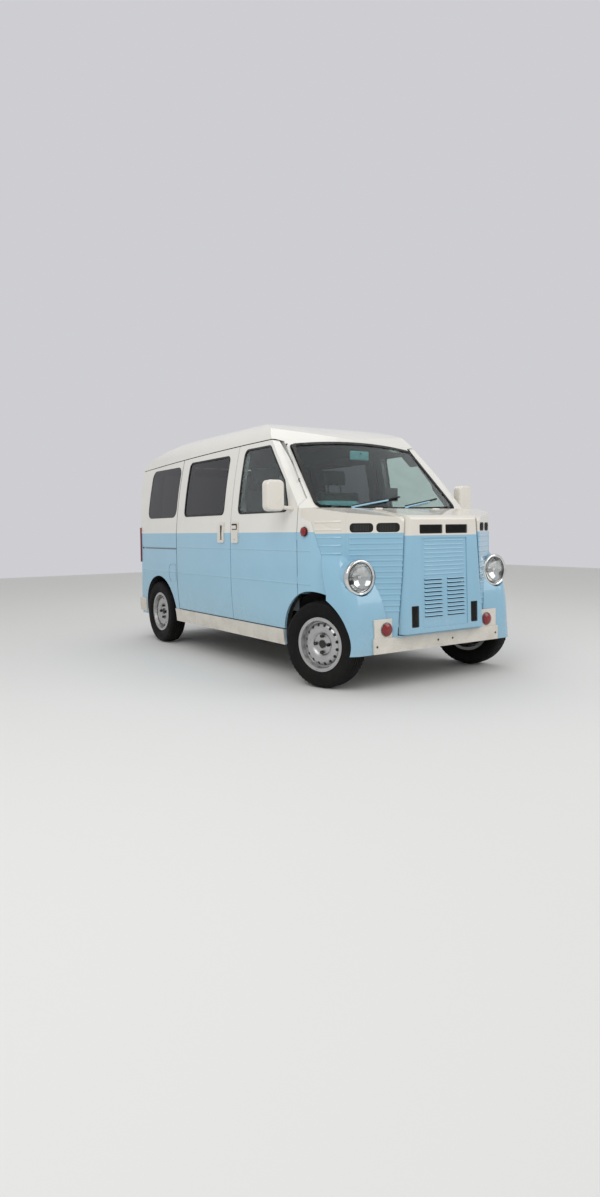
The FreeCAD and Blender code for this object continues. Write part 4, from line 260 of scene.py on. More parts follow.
def inner_face_group():
    """Faces that look towards the middle of the van: panel backs, jambs and the underside of the roof."""
    outputs = [("Mask", "NodeSocketFloat"), ("Back", "NodeSocketFloat")]
    tree, _, result = new_group("inner_faces", [], outputs)
    x, y, z = split_up(tree, object_space(tree))
    facing_x, facing_y, facing_z = split_up(tree, object_space(tree, "Normal"))
    sideways = times(tree, math_node(tree, "SIGN", y, 0.0), facing_y)
    lengthways = times(tree, math_node(tree, "SIGN", x, 0.0), facing_x)
    across = ranged(tree, sideways, -0.30, -0.40)
    along = times(tree, ranged(tree, lengthways, -0.30, -0.40), over(tree, size_of(tree, x), 0.6))
    under = times(tree, ranged(tree, facing_z, -0.25, -0.35), over(tree, z, 1.3))
    tree.links.new(larger(tree, across, larger(tree, along, under)), result.inputs["Mask"])
    tree.links.new(along, result.inputs["Back"])
    return tree


def side_gap_shade_group():
    """How deep a point lies under the outer side surface, as a mask of painted shade in the gaps, grooves
    and reveals and on the faces further in.
    """
    tree, _, result = new_group("side_gap_shade", [], [("Mask", "NodeSocketFloat")])
    x, y, z = split_up(tree, object_space(tree))
    rise = ranged(tree, z, waist_z, eaves_z)
    lean = times(tree, rise, plus(tree, times(tree, rise, lean_curve), lean_in))
    width = minus(tree, ranged(tree, z, foot_z, belly_z, foot_half_width, side_half_width), lean)
    depth = minus(tree, width, size_of(tree, y))
    pillar = plus(tree, x, times(tree, z, pillar_slope))
    reach = times(tree, within(tree, x, gap_rear_x, gap_front_x), over(tree, pillar_offset, pillar))
    tree.links.new(times(tree, ranged(tree, depth, *gap_depths), reach), result.inputs["Mask"])
    return tree


def nose_pocket_shade_group():
    """Masks of painted shade in the pockets behind the small corner vents and behind the lid's openings."""
    outputs = [("Corner", "NodeSocketFloat"), ("Lid", "NodeSocketFloat")]
    tree, _, result = new_group("nose_pocket_shade", [], outputs)
    x, y, z = split_up(tree, object_space(tree))
    y = size_of(tree, y)
    corner_depth = minus(tree, panel_offset, plus(tree, times(tree, x, panel_x), times(tree, y, panel_y)))
    outward = minus(tree, times(tree, y, panel_x), times(tree, x, panel_y))
    window = times(tree, within(tree, outward, *corner_vent_span), within(tree, z, *corner_vent_heights))
    corner = times(tree, within(tree, corner_depth, *corner_pocket_depths), window)
    lid_depth = minus(tree, minus(tree, lid_face_x, times(tree, z, lid_slope)), x)
    low_field = times(tree, over(tree, lid_field_z, z), over(tree, low_field_y, y))
    high_field = times(tree, within(tree, z, lid_field_z, lid_field_top), over(tree, high_field_y, y))
    field = larger(tree, low_field, high_field)
    tree.links.new(corner, result.inputs["Corner"])
    tree.links.new(times(tree, within(tree, lid_depth, *lid_pocket_depths), field), result.inputs["Lid"])
    return tree


def panel_line_group():
    """The pressed creases along the sides as a height, and a mask along the slanting seam between side panel
    and nose, where painted shade darkens the colour.
    """
    outputs = [("Crease", "NodeSocketFloat"), ("Seam", "NodeSocketFloat")]
    tree, _, result = new_group("panel_lines", [], outputs)
    x, y, z = split_up(tree, object_space(tree))
    creases = []
    for level in crease_heights:
        creases.append(ranged(tree, size_of(tree, minus(tree, z, level)), crease_half, 0.0))
    crease = times(tree, larger(tree, *creases), within(tree, x, *crease_ends))
    slope = (seam_low[0] - seam_high[0]) / (seam_high[1] - seam_low[1])
    slanted = plus(tree, x, times(tree, z, slope))
    away = size_of(tree, minus(tree, slanted, seam_high[0] + seam_high[1] * slope))
    seam = times(tree, ranged(tree, away, *seam_widths), within(tree, z, seam_low[1], seam_high[1]))
    tree.links.new(crease, result.inputs["Crease"])
    tree.links.new(seam, result.inputs["Seam"])
    return tree


dust_group = road_dust_group()
peel_group = orange_peel_group()
moulded_group = grain_group()
inner_group = inner_face_group()
gap_shade_group = side_gap_shade_group()
pocket_shade_group = nose_pocket_shade_group()
line_group = panel_line_group()


# Materials

def start_material(name, roughness=0.5, metallic=0.0, coat=0.0):
    material = bpy.data.materials.new(name)
    material.use_nodes = True
    shader = material.node_tree.nodes["Principled BSDF"]
    shader.inputs["Roughness"].default_value = roughness
    shader.inputs["Metallic"].default_value = metallic
    shader.inputs["Coat Weight"].default_value = coat
    return material, material.node_tree, shader


def placed_group(tree, group, **values):
    node = tree.nodes.new("ShaderNodeGroup")
    node.node_tree = group
    for label, value in values.items():
        node.inputs[label.replace("_", " ")].default_value = value
    return node


def add_bump(tree, shader, height, distance):
    bump = tree.nodes.new("ShaderNodeBump")
    bump.inputs["Distance"].default_value = distance
    bump.inputs["Strength"].default_value = 1.0
    tree.links.new(height, bump.inputs["Height"])
    tree.links.new(bump.outputs["Normal"], shader.inputs["Normal"])


def paint(name, upper, lower=None, line=0.0, dust=0.25, rough=0.16, inside=None, faces="Mask", gaps=False,
          pocket=None, lines=False):
    """Gloss paint, in one colour or in two that meet at a level line, darker inside, with painted shade in
    its gaps and pockets and along its seam line.
    """
    material, tree, shader = start_material(name, rough, 0.0, 0.6)
    shader.inputs["Coat Roughness"].default_value = 0.04
    colour = upper
    peel = placed_group(tree, peel_group)
    if lower:
        height_z = split_up(tree, object_space(tree))[2]
        colour = blended(tree, ranged(tree, height_z, line - line_blur, line + line_blur), lower, upper)
    shade = blended(tree, peel.outputs["Mask"], (0.955, 0.96, 0.965, 1.0), white)
    varied = blended(tree, 1.0, colour, shade, "MULTIPLY")
    height = times(tree, peel.outputs["Height"], 0.1)
    if lines:
        drawn = placed_group(tree, line_group)
        # Painted shade: the colour darkens in a line along the slanting seam.
        seam = blended(tree, drawn.outputs["Seam"], white, (0.72, 0.74, 0.76, 1.0))
        varied = blended(tree, 1.0, varied, seam, "MULTIPLY")
        height = plus(tree, height, times(tree, drawn.outputs["Crease"], 2.2))
    if pocket:
        # Painted shade on the floors of the pockets behind the nose vents and meshes.
        varied = blended(tree, placed_group(tree, pocket_shade_group).outputs[pocket], varied, gap_shade)
    if gaps:
        # Painted shade: deep gaps, grooves and the faces behind the outer side surface turn near black.
        varied = blended(tree, placed_group(tree, gap_shade_group).outputs["Mask"], varied, gap_shade)
    if inside:
        varied = blended(tree, placed_group(tree, inner_group).outputs[faces], varied, inside)
    dirt = placed_group(tree, dust_group, Amount=dust)
    tree.links.new(varied, dirt.inputs["Color"])
    tree.links.new(dirt.outputs["Color"], shader.inputs["Base Color"])
    gloss = ranged(tree, peel.outputs["Mask"], 0.0, 1.0, rough, rough + 0.07)
    tree.links.new(plus(tree, gloss, dirt.outputs["Mask"]), shader.inputs["Roughness"])
    add_bump(tree, shader, height, 0.0012)
    return material


def moulded(name, colour, roughness=0.55, grain=700.0, depth=0.0003, dust=0.15, coat=0.0, metallic=0.0):
    """Moulded plastic, rubber or bare cast metal."""
    material, tree, shader = start_material(name, roughness, metallic, coat)
    texture = placed_group(tree, moulded_group, Scale=grain)
    darker = dimmed(colour, 0.78)
    dirt = placed_group(tree, dust_group, Amount=dust)
    tree.links.new(blended(tree, texture.outputs["Mask"], darker, colour), dirt.inputs["Color"])
    tree.links.new(dirt.outputs["Color"], shader.inputs["Base Color"])
    spread = ranged(tree, texture.outputs["Mask"], 0.0, 1.0, roughness - 0.08, roughness + 0.08)
    tree.links.new(plus(tree, spread, dirt.outputs["Mask"]), shader.inputs["Roughness"])
    add_bump(tree, shader, texture.outputs["Height"], depth)
    return material


def polished(name, colour, roughness=0.08):
    """Bright metal with slightly dull patches."""
    material, tree, shader = start_material(name, roughness, 1.0)
    texture = placed_group(tree, peel_group, Scale=60.0)
    tarnished = dimmed(colour, 0.86)
    tree.links.new(blended(tree, texture.outputs["Mask"], tarnished, colour), shader.inputs["Base Color"])
    tree.links.new(ranged(tree, texture.outputs["Mask"], 0.0, 1.0, roughness, roughness + 0.08),
                   shader.inputs["Roughness"])
    add_bump(tree, shader, texture.outputs["Height"], 0.0001)
    return material


def glass(name, colour):
    """Window glass with faint smears, which make it a little duller in patches."""
    material, tree, shader = start_material(name, 0.0)
    shader.inputs["Transmission Weight"].default_value = 1.0
    shader.inputs["IOR"].default_value = 1.45
    place = object_space(tree)
    smears = noise_in(tree, place, 3.0, 5.0)
    smears.inputs["Distortion"].default_value = 1.5
    smeared = ranged(tree, smears.outputs["Fac"], 0.35, 0.7)
    tree.links.new(blended(tree, smeared, colour, dimmed(colour, 0.93)), shader.inputs["Base Color"])
    tree.links.new(ranged(tree, smears.outputs["Fac"], 0.45, 0.8, 0.0, 0.05), shader.inputs["Roughness"])
    return material


def lens(name, colour):
    """Coloured lamp plastic with a moulded pattern of fine blocks inside."""
    material, tree, shader = start_material(name, 0.08, 0.0, 0.5)
    shader.inputs["Transmission Weight"].default_value = 0.35
    place = object_space(tree)
    blocks = tree.nodes.new("ShaderNodeTexVoronoi")
    blocks.distance = "CHEBYCHEV"
    blocks.inputs["Scale"].default_value = 180.0
    tree.links.new(place, blocks.inputs["Vector"])
    shown = blended(tree, blocks.outputs["Distance"], dimmed(colour, 0.6), colour)
    tree.links.new(shown, shader.inputs["Base Color"])
    add_bump(tree, shader, blocks.outputs["Distance"], 0.0004)
    return material


def cloth(name, colour, thread):
    """Woven seat cloth: two crossed sets of threads over a heathered colour."""
    material, tree, shader = start_material(name, 0.9)
    shader.inputs["Sheen Weight"].default_value = 0.25
    place = object_space(tree)
    threads = []
    for direction in ("Y", "DIAGONAL"):
        wave = tree.nodes.new("ShaderNodeTexWave")
        wave.bands_direction = direction
        wave.inputs["Scale"].default_value = 160.0
        wave.inputs["Distortion"].default_value = 1.2
        tree.links.new(place, wave.inputs["Vector"])
        threads.append(wave.outputs["Fac"])
    woven = larger(tree, *threads)
    heather = ranged(tree, noise_in(tree, place, 90.0, 4.0).outputs["Fac"], 0.3, 0.7)
    base = blended(tree, heather, colour, thread)
    dark = blended(tree, woven, (0.6, 0.6, 0.6, 1.0), white)
    tree.links.new(blended(tree, 1.0, base, dark, "MULTIPLY"), shader.inputs["Base Color"])
    tree.links.new(ranged(tree, heather, 0.0, 1.0, 0.82, 0.96), shader.inputs["Roughness"])
    add_bump(tree, shader, woven, 0.0005)
    return material


side_paint = paint("side_paint", warm_white, light_blue, side_line, inside=trim_grey, gaps=True, lines=True)
corner_paint = paint("corner_paint", dim_white, shaded_blue, corner_line, inside=trim_grey, faces="Back",
                     pocket="Corner", lines=True)
lid_paint = paint("lid_paint", dim_white, shaded_blue, lid_line, pocket="Lid")
roof_paint = paint("roof_paint", warm_white, dust=0.1, inside=liner_grey)
trim_paint = paint("trim_paint", dim_white, dust=0.5, rough=0.24)
underseal = moulded("underseal", srgb(26, 25, 24), 0.75, 120.0, 0.0012, 0.1)
frame_black = moulded("frame_black", srgb(38, 37, 35), 0.62, 180.0, 0.0012, 0.5)
clear_glass = glass("clear_glass", srgb(222, 238, 232))
privacy_glass = glass("privacy_glass", srgb(92, 94, 98))
bulb_glass = glass("lamp_glass", srgb(244, 246, 246))
chrome = polished("chrome", srgb(226, 226, 224))
red_lens = lens("red_lens", srgb(168, 10, 14))
mesh_black = moulded("mesh_black", srgb(30, 27, 26), 0.45, 500.0, 0.0002, 0.1, 0.0, 0.4)
dash_plastic = moulded("dash_plastic", turquoise, 0.5, 520.0, 0.0003, 0.05)
wheel_plastic = moulded("wheel_plastic", srgb(34, 34, 36), 0.42, 600.0, 0.0002, 0.05)
seat_cloth = cloth("seat_cloth", srgb(72, 76, 80), srgb(104, 110, 114))
wiper_paint = paint("wiper_paint", light_blue, dust=0.0, rough=0.3)
wiper_rubber = moulded("wiper_rubber", srgb(20, 20, 20), 0.6, 500.0, 0.0002, 0.1)
engine_metal = moulded("engine_metal", srgb(128, 126, 120), 0.5, 130.0, 0.002, 0.6, 0.0, 0.8)
exhaust_steel = moulded("exhaust_steel", srgb(150, 138, 122), 0.42, 90.0, 0.0008, 0.7, 0.0, 0.9)
axle_iron = moulded("axle_iron", srgb(46, 43, 40), 0.6, 160.0, 0.0014, 0.7, 0.0, 0.3)
rim_paint = moulded("rim_paint", srgb(190, 190, 190), 0.28, 260.0, 0.0002, 0.12, 0.3, 0.85)
tyre_rubber = moulded("tyre_rubber", srgb(9, 9, 9), 0.72, 320.0, 0.0004, 0.02)
tyre_rubber.node_tree.nodes["Principled BSDF"].inputs["Specular IOR Level"].default_value = 0.22
seal_rubber = moulded("seal_rubber", srgb(22, 22, 22), 0.5, 600.0, 0.0002, 0.04)
# Black for nuts and bolts, and painted shade at the wheels' vent holes.
nut_and_shade_black = moulded("nut_and_shade_black", srgb(24, 23, 22), 0.5, 300.0, 0.0002, 0.08)
card_vinyl = moulded("card_vinyl", srgb(60, 64, 68), 0.6, 420.0, 0.0004, 0.04)
plate_white = moulded("plate_white", srgb(220, 220, 214), 0.4, 500.0, 0.0001, 0.2)
dark_chrome = polished("dark_chrome", srgb(120, 120, 120), 0.16)

finishes = {
    "floor_pan": underseal, "chassis_frame": frame_black, "roof": roof_paint,
    "side_right": side_paint, "side_left": side_paint, "nose_shell": corner_paint,
    "windscreen": clear_glass, "side_glass": privacy_glass,
    "sliding_door_right": side_paint, "sliding_door_left": side_paint,
    "bumpers": trim_paint, "side_trim": trim_paint, "headlights": chrome, "headlight_lenses": bulb_glass,
    "signal_lamps": red_lens, "intake_meshes": mesh_black, "dashboard": dash_plastic,
    "steering_wheel": wheel_plastic, "seats": seat_cloth, "wiper_arms": wiper_paint,
    "wiper_blades": wiper_rubber, "engine_block": engine_metal, "fuel_tank": frame_black,
    "exhaust": exhaust_steel, "rear_axle": axle_iron, "front_suspension": axle_iron,
    "interior_mirror": dash_plastic, "door_right": side_paint, "door_left": side_paint,
    "door_glass_right": clear_glass, "door_glass_left": clear_glass,
    "door_mirror_right": trim_paint, "door_mirror_left": trim_paint,
    "tailgate": side_paint, "tailgate_glass": privacy_glass, "nose_lid": lid_paint, "lid_meshes": mesh_black,
    "knuckle_right": axle_iron, "knuckle_left": axle_iron,
}
for corner in ("front_right", "front_left", "rear_right", "rear_left"):
    finishes["rim_" + corner] = rim_paint
    finishes["tyre_" + corner] = tyre_rubber
for name, material in finishes.items():
    for slot in nodes[name].material_slots:
        slot.material = material


# Modelled pieces

def take(obj):
    bpy.ops.object.select_all(action="DESELECT")
    obj.select_set(True)
    bpy.context.view_layer.objects.active = obj


def settle(obj, name, body, material, smooth=35.0):
    """Bakes a finished piece's place, names it, gives it its material and hangs it on its body."""
    baked(obj)
    bpy.ops.object.mode_set(mode="EDIT")
    bpy.ops.mesh.select_all(action="SELECT")
    bpy.ops.mesh.normals_make_consistent(inside=False)
    bpy.ops.object.mode_set(mode="OBJECT")
    obj.name = name
    obj.data.name = name
    obj.data.materials.clear()
    obj.data.materials.append(material)
    bpy.ops.object.shade_smooth_by_angle(angle=math.radians(smooth))
    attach(obj, body)
    return obj


def baked(obj):
    """Puts a piece's place, turn and scale into its mesh."""
    take(obj)
    bpy.ops.object.transform_apply(location=True, rotation=True, scale=True)


def doubled(obj):
    twin = obj.copy()
    twin.data = obj.data.copy()
    bpy.context.scene.collection.objects.link(twin)
    return twin


def joined(pieces):
    bpy.ops.object.select_all(action="DESELECT")
    for piece in pieces:
        piece.select_set(True)
    bpy.context.view_layer.objects.active = pieces[0]
    bpy.ops.object.join()
    return bpy.context.object


def mirrored(obj):
    """The same piece on the other side of the centre plane."""
    twin = doubled(obj)
    twin.scale.y = -1
    return twin


def block(low, high, bevel, segments=3):
    """A rounded block between two corners."""
    middle = [(a + b) / 2 for a, b in zip(low, high)]
    size = [b - a for a, b in zip(low, high)]
    bpy.ops.mesh.primitive_cube_add(size=1, location=middle)
    obj = bpy.context.object
    obj.scale = size
    bpy.ops.object.transform_apply(location=False, rotation=False, scale=True)
    bpy.ops.object.mode_set(mode="EDIT")
    bpy.ops.mesh.select_all(action="SELECT")
    bpy.ops.mesh.bevel(offset=bevel, segments=segments, affect="EDGES")
    bpy.ops.object.mode_set(mode="OBJECT")
    return obj


def rounded_rod(start, end, radius, sides=20, bevel_share=0.35):
    """A rod with softened ends."""
    start = Vector(start)
    end = Vector(end)
    bpy.ops.mesh.primitive_cylinder_add(vertices=sides, radius=radius, depth=(end - start).length,
                                        location=(start + end) / 2)
    obj = bpy.context.object
    bpy.ops.object.mode_set(mode="EDIT")
    shape = bmesh.from_edit_mesh(obj.data)
    for edge in shape.edges:
        flat = abs(edge.verts[0].co.z - edge.verts[1].co.z) < radius * 0.01
        edge.select_set(flat)
    bmesh.update_edit_mesh(obj.data)
    bpy.ops.mesh.bevel(offset=radius * bevel_share, segments=3, affect="EDGES")
    bpy.ops.object.mode_set(mode="OBJECT")
    obj.rotation_euler = (end - start).to_track_quat("Z", "Y").to_euler()
    return obj


def ring(centre, axis, major, minor, sides=48):
    bpy.ops.mesh.primitive_torus_add(major_segments=sides, minor_segments=12, major_radius=major,
                                     minor_radius=minor, location=centre)
    obj = bpy.context.object
    obj.rotation_euler = Vector(axis).to_track_quat("Z", "Y").to_euler()
    return obj


def lathe(profile, steps):
    """A profile of points drawn step by step in the YZ plane and spun about the Y axis."""
    bpy.ops.mesh.primitive_plane_add(size=0.01)
    obj = bpy.context.object
    bpy.ops.object.mode_set(mode="EDIT")
    shape = bmesh.from_edit_mesh(obj.data)
    shape.verts.ensure_lookup_table()
    for vert in shape.verts:
        vert.select_set(vert.index != 0)
    bmesh.update_edit_mesh(obj.data)
    bpy.ops.mesh.delete(type="VERT")
    shape = bmesh.from_edit_mesh(obj.data)
    shape.verts.ensure_lookup_table()
    shape.verts[0].co = Vector((0, profile[0][0], profile[0][1]))
    shape.verts[0].select_set(True)
    bmesh.update_edit_mesh(obj.data)
    for before, after in zip(profile, profile[1:]):
        step = (0, after[0] - before[0], after[1] - before[1])
        bpy.ops.mesh.extrude_region_move(TRANSFORM_OT_translate={"value": step})
    bpy.ops.mesh.select_all(action="SELECT")
    bpy.ops.mesh.spin(steps=steps, angle=2 * math.pi, center=(0, 0, 0), axis=(0, 1, 0))
    bpy.ops.mesh.select_all(action="SELECT")
    bpy.ops.mesh.remove_doubles(threshold=0.00001)
    bpy.ops.mesh.normals_make_consistent(inside=False)
    bpy.ops.object.mode_set(mode="OBJECT")
    return obj


def spun(obj, count):
    """Repeats the whole mesh round the Y axis through the origin."""
    baked(obj)
    bpy.ops.object.mode_set(mode="EDIT")
    bpy.ops.mesh.select_all(action="SELECT")
    bpy.ops.mesh.spin(steps=count, dupli=True, angle=2 * math.pi, center=(0, 0, 0), axis=(0, 1, 0))
    bpy.ops.object.mode_set(mode="OBJECT")
    return obj


# Wheels

wheel_turn = math.radians(16.6)
front_axle_x = 1.276
rear_axle_x = -1.124
axle_z = 0.268
kingpin_y = 0.6
wheel_beyond_pin = 0.0525
rear_wheel_y = 0.6475
ahead = wheel_beyond_pin * math.sin(wheel_turn)
outboard = kingpin_y + wheel_beyond_pin * math.cos(wheel_turn)
wheel_places = {
    "front_right": ((front_axle_x + ahead, -outboard, axle_z), wheel_turn, False),
    "front_left": ((front_axle_x - ahead, outboard, axle_z), wheel_turn, True),
    "rear_right": ((rear_axle_x, -rear_wheel_y, axle_z), 0.0, False),
    "rear_left": ((rear_axle_x, rear_wheel_y, axle_z), 0.0, True),
}
tyre_steps = 72
lug_count = 56
stud_circle_radius = 0.05
stud_count = 4
vent_ring_radius = 0.120
vent_count = 16


def make_tread_tyre():
    """The tyre: bead, side wall with raised rings, shoulder lugs and a ribbed tread."""
    half_profile = [
        (0.0440, 0.1522), (0.0480, 0.1560), (0.0500, 0.1640), (0.0520, 0.1680), (0.0590, 0.1740),
        (0.0598, 0.1752), (0.0612, 0.1755), (0.0622, 0.1775), (0.0665, 0.1880), (0.0672, 0.1895),
        (0.0684, 0.1899), (0.0693, 0.1918), (0.0715, 0.2040), (0.0732, 0.2150), (0.0720, 0.2290),
        (0.0706, 0.2390), (0.0709, 0.2400), (0.0690, 0.2470), (0.0655, 0.2540), (0.0625, 0.2572),
        (0.0570, 0.2600), (0.0500, 0.2632), (0.0440, 0.2656), (0.0432, 0.2600), (0.0392, 0.2600),
        (0.0384, 0.2668), (0.0240, 0.2678), (0.0232, 0.2602), (0.0182, 0.2602), (0.0174, 0.2679),
        (0.0030, 0.2680), (0.0022, 0.2640)]
    profile = [(-y, z) for y, z in half_profile] + [(y, z) for y, z in reversed(half_profile)]
    tyre = lathe(profile, tyre_steps)
    lugs = []
    for side in (-1, 1):
        lug = block((-0.0052, 0.0446, 0.2520), (0.0052, 0.0600, 0.2618), 0.0012, 2)
        baked(lug)
        lug.scale.y = side
        lugs.append(spun(lug, lug_count))
    return joined([tyre] + lugs)


def make_wheel_nuts_and_shade():
    """Black nuts, a black disc in the centre bore, and painted shade at the vent holes as dark discs and a
    dark ring further in, in the wheel's own frame.
    """
    pieces = []
    bpy.ops.mesh.primitive_cylinder_add(vertices=6, radius=0.0112, depth=0.016,
                                        location=(stud_circle_radius, -0.0330, 0))
    nut = bpy.context.object
    nut.rotation_euler.x = math.radians(90)
    bpy.ops.object.transform_apply(location=False, rotation=True, scale=False)
    bpy.ops.object.mode_set(mode="EDIT")
    shape = bmesh.from_edit_mesh(nut.data)
    for face in shape.faces:
        face.select_set(face.normal.y < -0.9)
    bmesh.update_edit_mesh(nut.data)
    bpy.ops.mesh.inset(thickness=0.003, depth=0.003)
    bpy.ops.mesh.inset(thickness=0.003, depth=-0.005)
    bpy.ops.object.mode_set(mode="OBJECT")
    pieces.append(spun(nut, stud_count))
    pieces.append(lathe([(-0.0306, 0.0), (-0.0306, 0.0180), (-0.0312, 0.0215), (-0.0306, 0.0238),
                         (-0.0299, 0.0245)], 36))
    # Painted shade: dark discs at the vent holes, and a dark ring further in behind them.
    x = vent_ring_radius * math.cos(math.pi / vent_count)
    z = vent_ring_radius * math.sin(math.pi / vent_count)
    pieces.append(spun(rounded_rod((x, -0.0275, z), (x, -0.0295, z), 0.0098, 20, 0.08), vent_count))
    pieces.append(lathe([(-0.0092, 0.0920), (-0.0092, 0.1330), (-0.0080, 0.1335), (-0.0080, 0.0915),
                         (-0.0092, 0.0920)], 48))
    return joined(pieces)


def put_on_wheels(master, label, material, smooth):
    for corner, (place, turn, flip) in wheel_places.items():
        piece = doubled(master)
        piece.scale.y = -1 if flip else 1
        piece.rotation_euler.z = turn
        piece.location = place
        settle(piece, label + "_" + corner, "wheel_" + corner, material, smooth)
        if label == "tread_tyre":
            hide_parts("tyre_" + corner)
    bpy.data.objects.remove(master)


# Frames round the glass

sliding_pane_rear_x = -0.62


def pane_frame(node, name, body, facing, width, rise, region=None):
    """A rubber frame along the edge of a pane, raised from a merged copy of the pane's outer face."""
    obj = doubled(nodes[node])
    take(obj)
    bpy.ops.object.mode_set(mode="EDIT")
    bpy.ops.mesh.select_all(action="SELECT")
    bpy.ops.mesh.remove_doubles(threshold=0.00002)
    shape = bmesh.from_edit_mesh(obj.data)
    for face in shape.faces:
        wanted = face.normal.dot(Vector(facing)) > 0.45
        if region and not region(face.calc_center_median()):
            wanted = False
        face.select_set(not wanted)
    bmesh.update_edit_mesh(obj.data)
    bpy.ops.mesh.delete(type="FACE")
    bpy.ops.mesh.select_all(action="SELECT")
    bpy.ops.mesh.dissolve_limited(angle_limit=math.radians(0.01))
    bpy.ops.mesh.select_all(action="SELECT")
    bpy.ops.mesh.inset(thickness=width, depth=0.0, use_boundary=True, use_even_offset=True)
    bpy.ops.mesh.delete(type="FACE")
    bpy.ops.object.mode_set(mode="OBJECT")
    solid = obj.modifiers.new("thick", "SOLIDIFY")
    solid.thickness = rise
    solid.offset = 1.0
    bpy.ops.object.modifier_apply(modifier="thick")
    return settle(obj, name, body, seal_rubber, 40)


# Door and window details

def add_frames():
    """Rubber round the door, sliding door, tailgate and front glass."""
    for side, facing in (("right", (0, -1, 0)), ("left", (0, 1, 0))):
        pane_frame("door_glass_" + side, "door_rubber_" + side, "door_" + side, facing, 0.013, 0.005)
        pane_frame("side_glass", "sliding_rubber_" + side, "body", facing, 0.013, 0.005,
                   lambda spot: spot.x > sliding_pane_rear_x)
    pane_frame("windscreen", "screen_rubber", "body", (1, 0, 0), 0.024, 0.0055)
    pane_frame("tailgate_glass", "tailgate_rubber", "tailgate", (-1, 0, 0), 0.015, 0.005)


def add_handles():
    """Flap, lock and recess on the front doors, and the upright pull of the sliding doors."""
    for side, body, flip in (("right", "door_right", False), ("left", "door_left", True)):
        well = block((0.2830, -0.7474, 0.9800), (0.3540, -0.7440, 1.0220), 0.0012, 2)
        flap = block((0.2865, -0.7520, 0.9850), (0.3505, -0.7460, 1.0100), 0.0026, 3)
        lock = rounded_rod((0.3180, -0.7440, 0.9100), (0.3180, -0.7490, 0.9100), 0.0075)
        slot = block((0.3160, -0.7477, 0.9040), (0.3200, -0.7450, 0.9160), 0.0008, 2)
        pull = block((0.1080, -0.7474, 0.9050), (0.1240, -0.7440, 1.0140), 0.0014, 2)
        grip = block((0.0860, -0.7520, 0.9080), (0.1060, -0.7450, 1.0110), 0.0028, 3)
        for piece, name, owner, material in (
                (well, "handle_well_", body, seal_rubber), (flap, "handle_flap_", body, trim_paint),
                (lock, "handle_lock_", body, chrome), (slot, "handle_keyhole_", body, seal_rubber),
                (pull, "slide_well_", "body", seal_rubber), (grip, "slide_grip_", "body", trim_paint)):
            baked(piece)
            piece.scale.y = -1 if flip else 1
            settle(piece, name + side, owner, material)


def add_aerial():
    """The pull-out aerial in its two clips on the right windscreen pillar."""
    low = Vector((0.990, -0.628, 1.302))
    high = Vector((0.766, -0.577, 1.553))
    mast = rounded_rod(low + (low - high) * 0.03, high + (high - low) * 0.02, 0.0028, 16)
    settle(mast, "aerial_mast", "body", chrome)
    clips = []
    for spot in (low, high):
        inward = Vector((-0.012, 0.010, -0.012))
        clips.append(rounded_rod(spot + inward, spot - inward * 0.25, 0.0045, 16))
        clips.append(ring(spot, (low - high), 0.0052, 0.0022, 24))
    settle(joined(clips), "aerial_clips", "body", seal_rubber)


def add_door_cards():
    """Inner trim of the front doors: a padded card with an armrest and a winder."""
    for side, flip in (("right", False), ("left", True)):
        card = block((0.300, -0.6872, 0.450), (1.060, -0.6792, 1.050), 0.003, 2)
        rest = block((0.420, -0.6800, 0.735), (0.830, -0.6430, 0.785), 0.012, 3)
        hub = rounded_rod((0.700, -0.6800, 0.640), (0.700, -0.6600, 0.640), 0.016)
        arm = rounded_rod((0.700, -0.6630, 0.640), (0.610, -0.6600, 0.640), 0.006)
        knob = rounded_rod((0.612, -0.6610, 0.640), (0.612, -0.6420, 0.640), 0.010)
        card = joined([card, rest, hub, arm, knob])
        baked(card)
        card.scale.y = -1 if flip else 1
        settle(card, "door_card_" + side, "door_" + side, card_vinyl)


# Nose and lamp details

def add_lamp_details():
    """Rings round the turn lamps and lenses, small lamps inside the headlights and bumper bolts."""
    bezels = []
    for side in (-1, 1):
        bezels.append(ring((1.6185, side * 0.432, 0.370), (1, 0, 0), 0.0385, 0.0042))
    settle(joined(bezels), "turn_lamp_bezels", "body", dark_chrome)
    rims = []
    lamps = []
    for side in (-1, 1):
        rims.append(ring((1.5585, side * 0.580, 0.6845), (1, 0, 0), 0.0885, 0.0030, 64))
        lamps.append(rounded_rod((1.5485, side * 0.646, 0.6600), (1.5660, side * 0.646, 0.6600), 0.0140, 24))
    settle(joined(rims), "lens_rims", "body", seal_rubber)
    settle(joined(lamps), "position_lamps", "body", seal_rubber)
    bolts = []
    for across in (-0.510, -0.014, 0.112, 0.510):
        bolts.append(rounded_rod((1.6180, across, 0.272), (1.6265, across, 0.272), 0.0070, 24))
    settle(joined(bolts), "bumper_bolts", "body", nut_and_shade_black)
    edges = []
    for side in (-1, 1):
        edges.append(ring((1.206, side * 0.7405, 0.961), (0, 1, 0), 0.0290, 0.0022))
    settle(joined(edges), "repeater_gaskets", "body", seal_rubber)


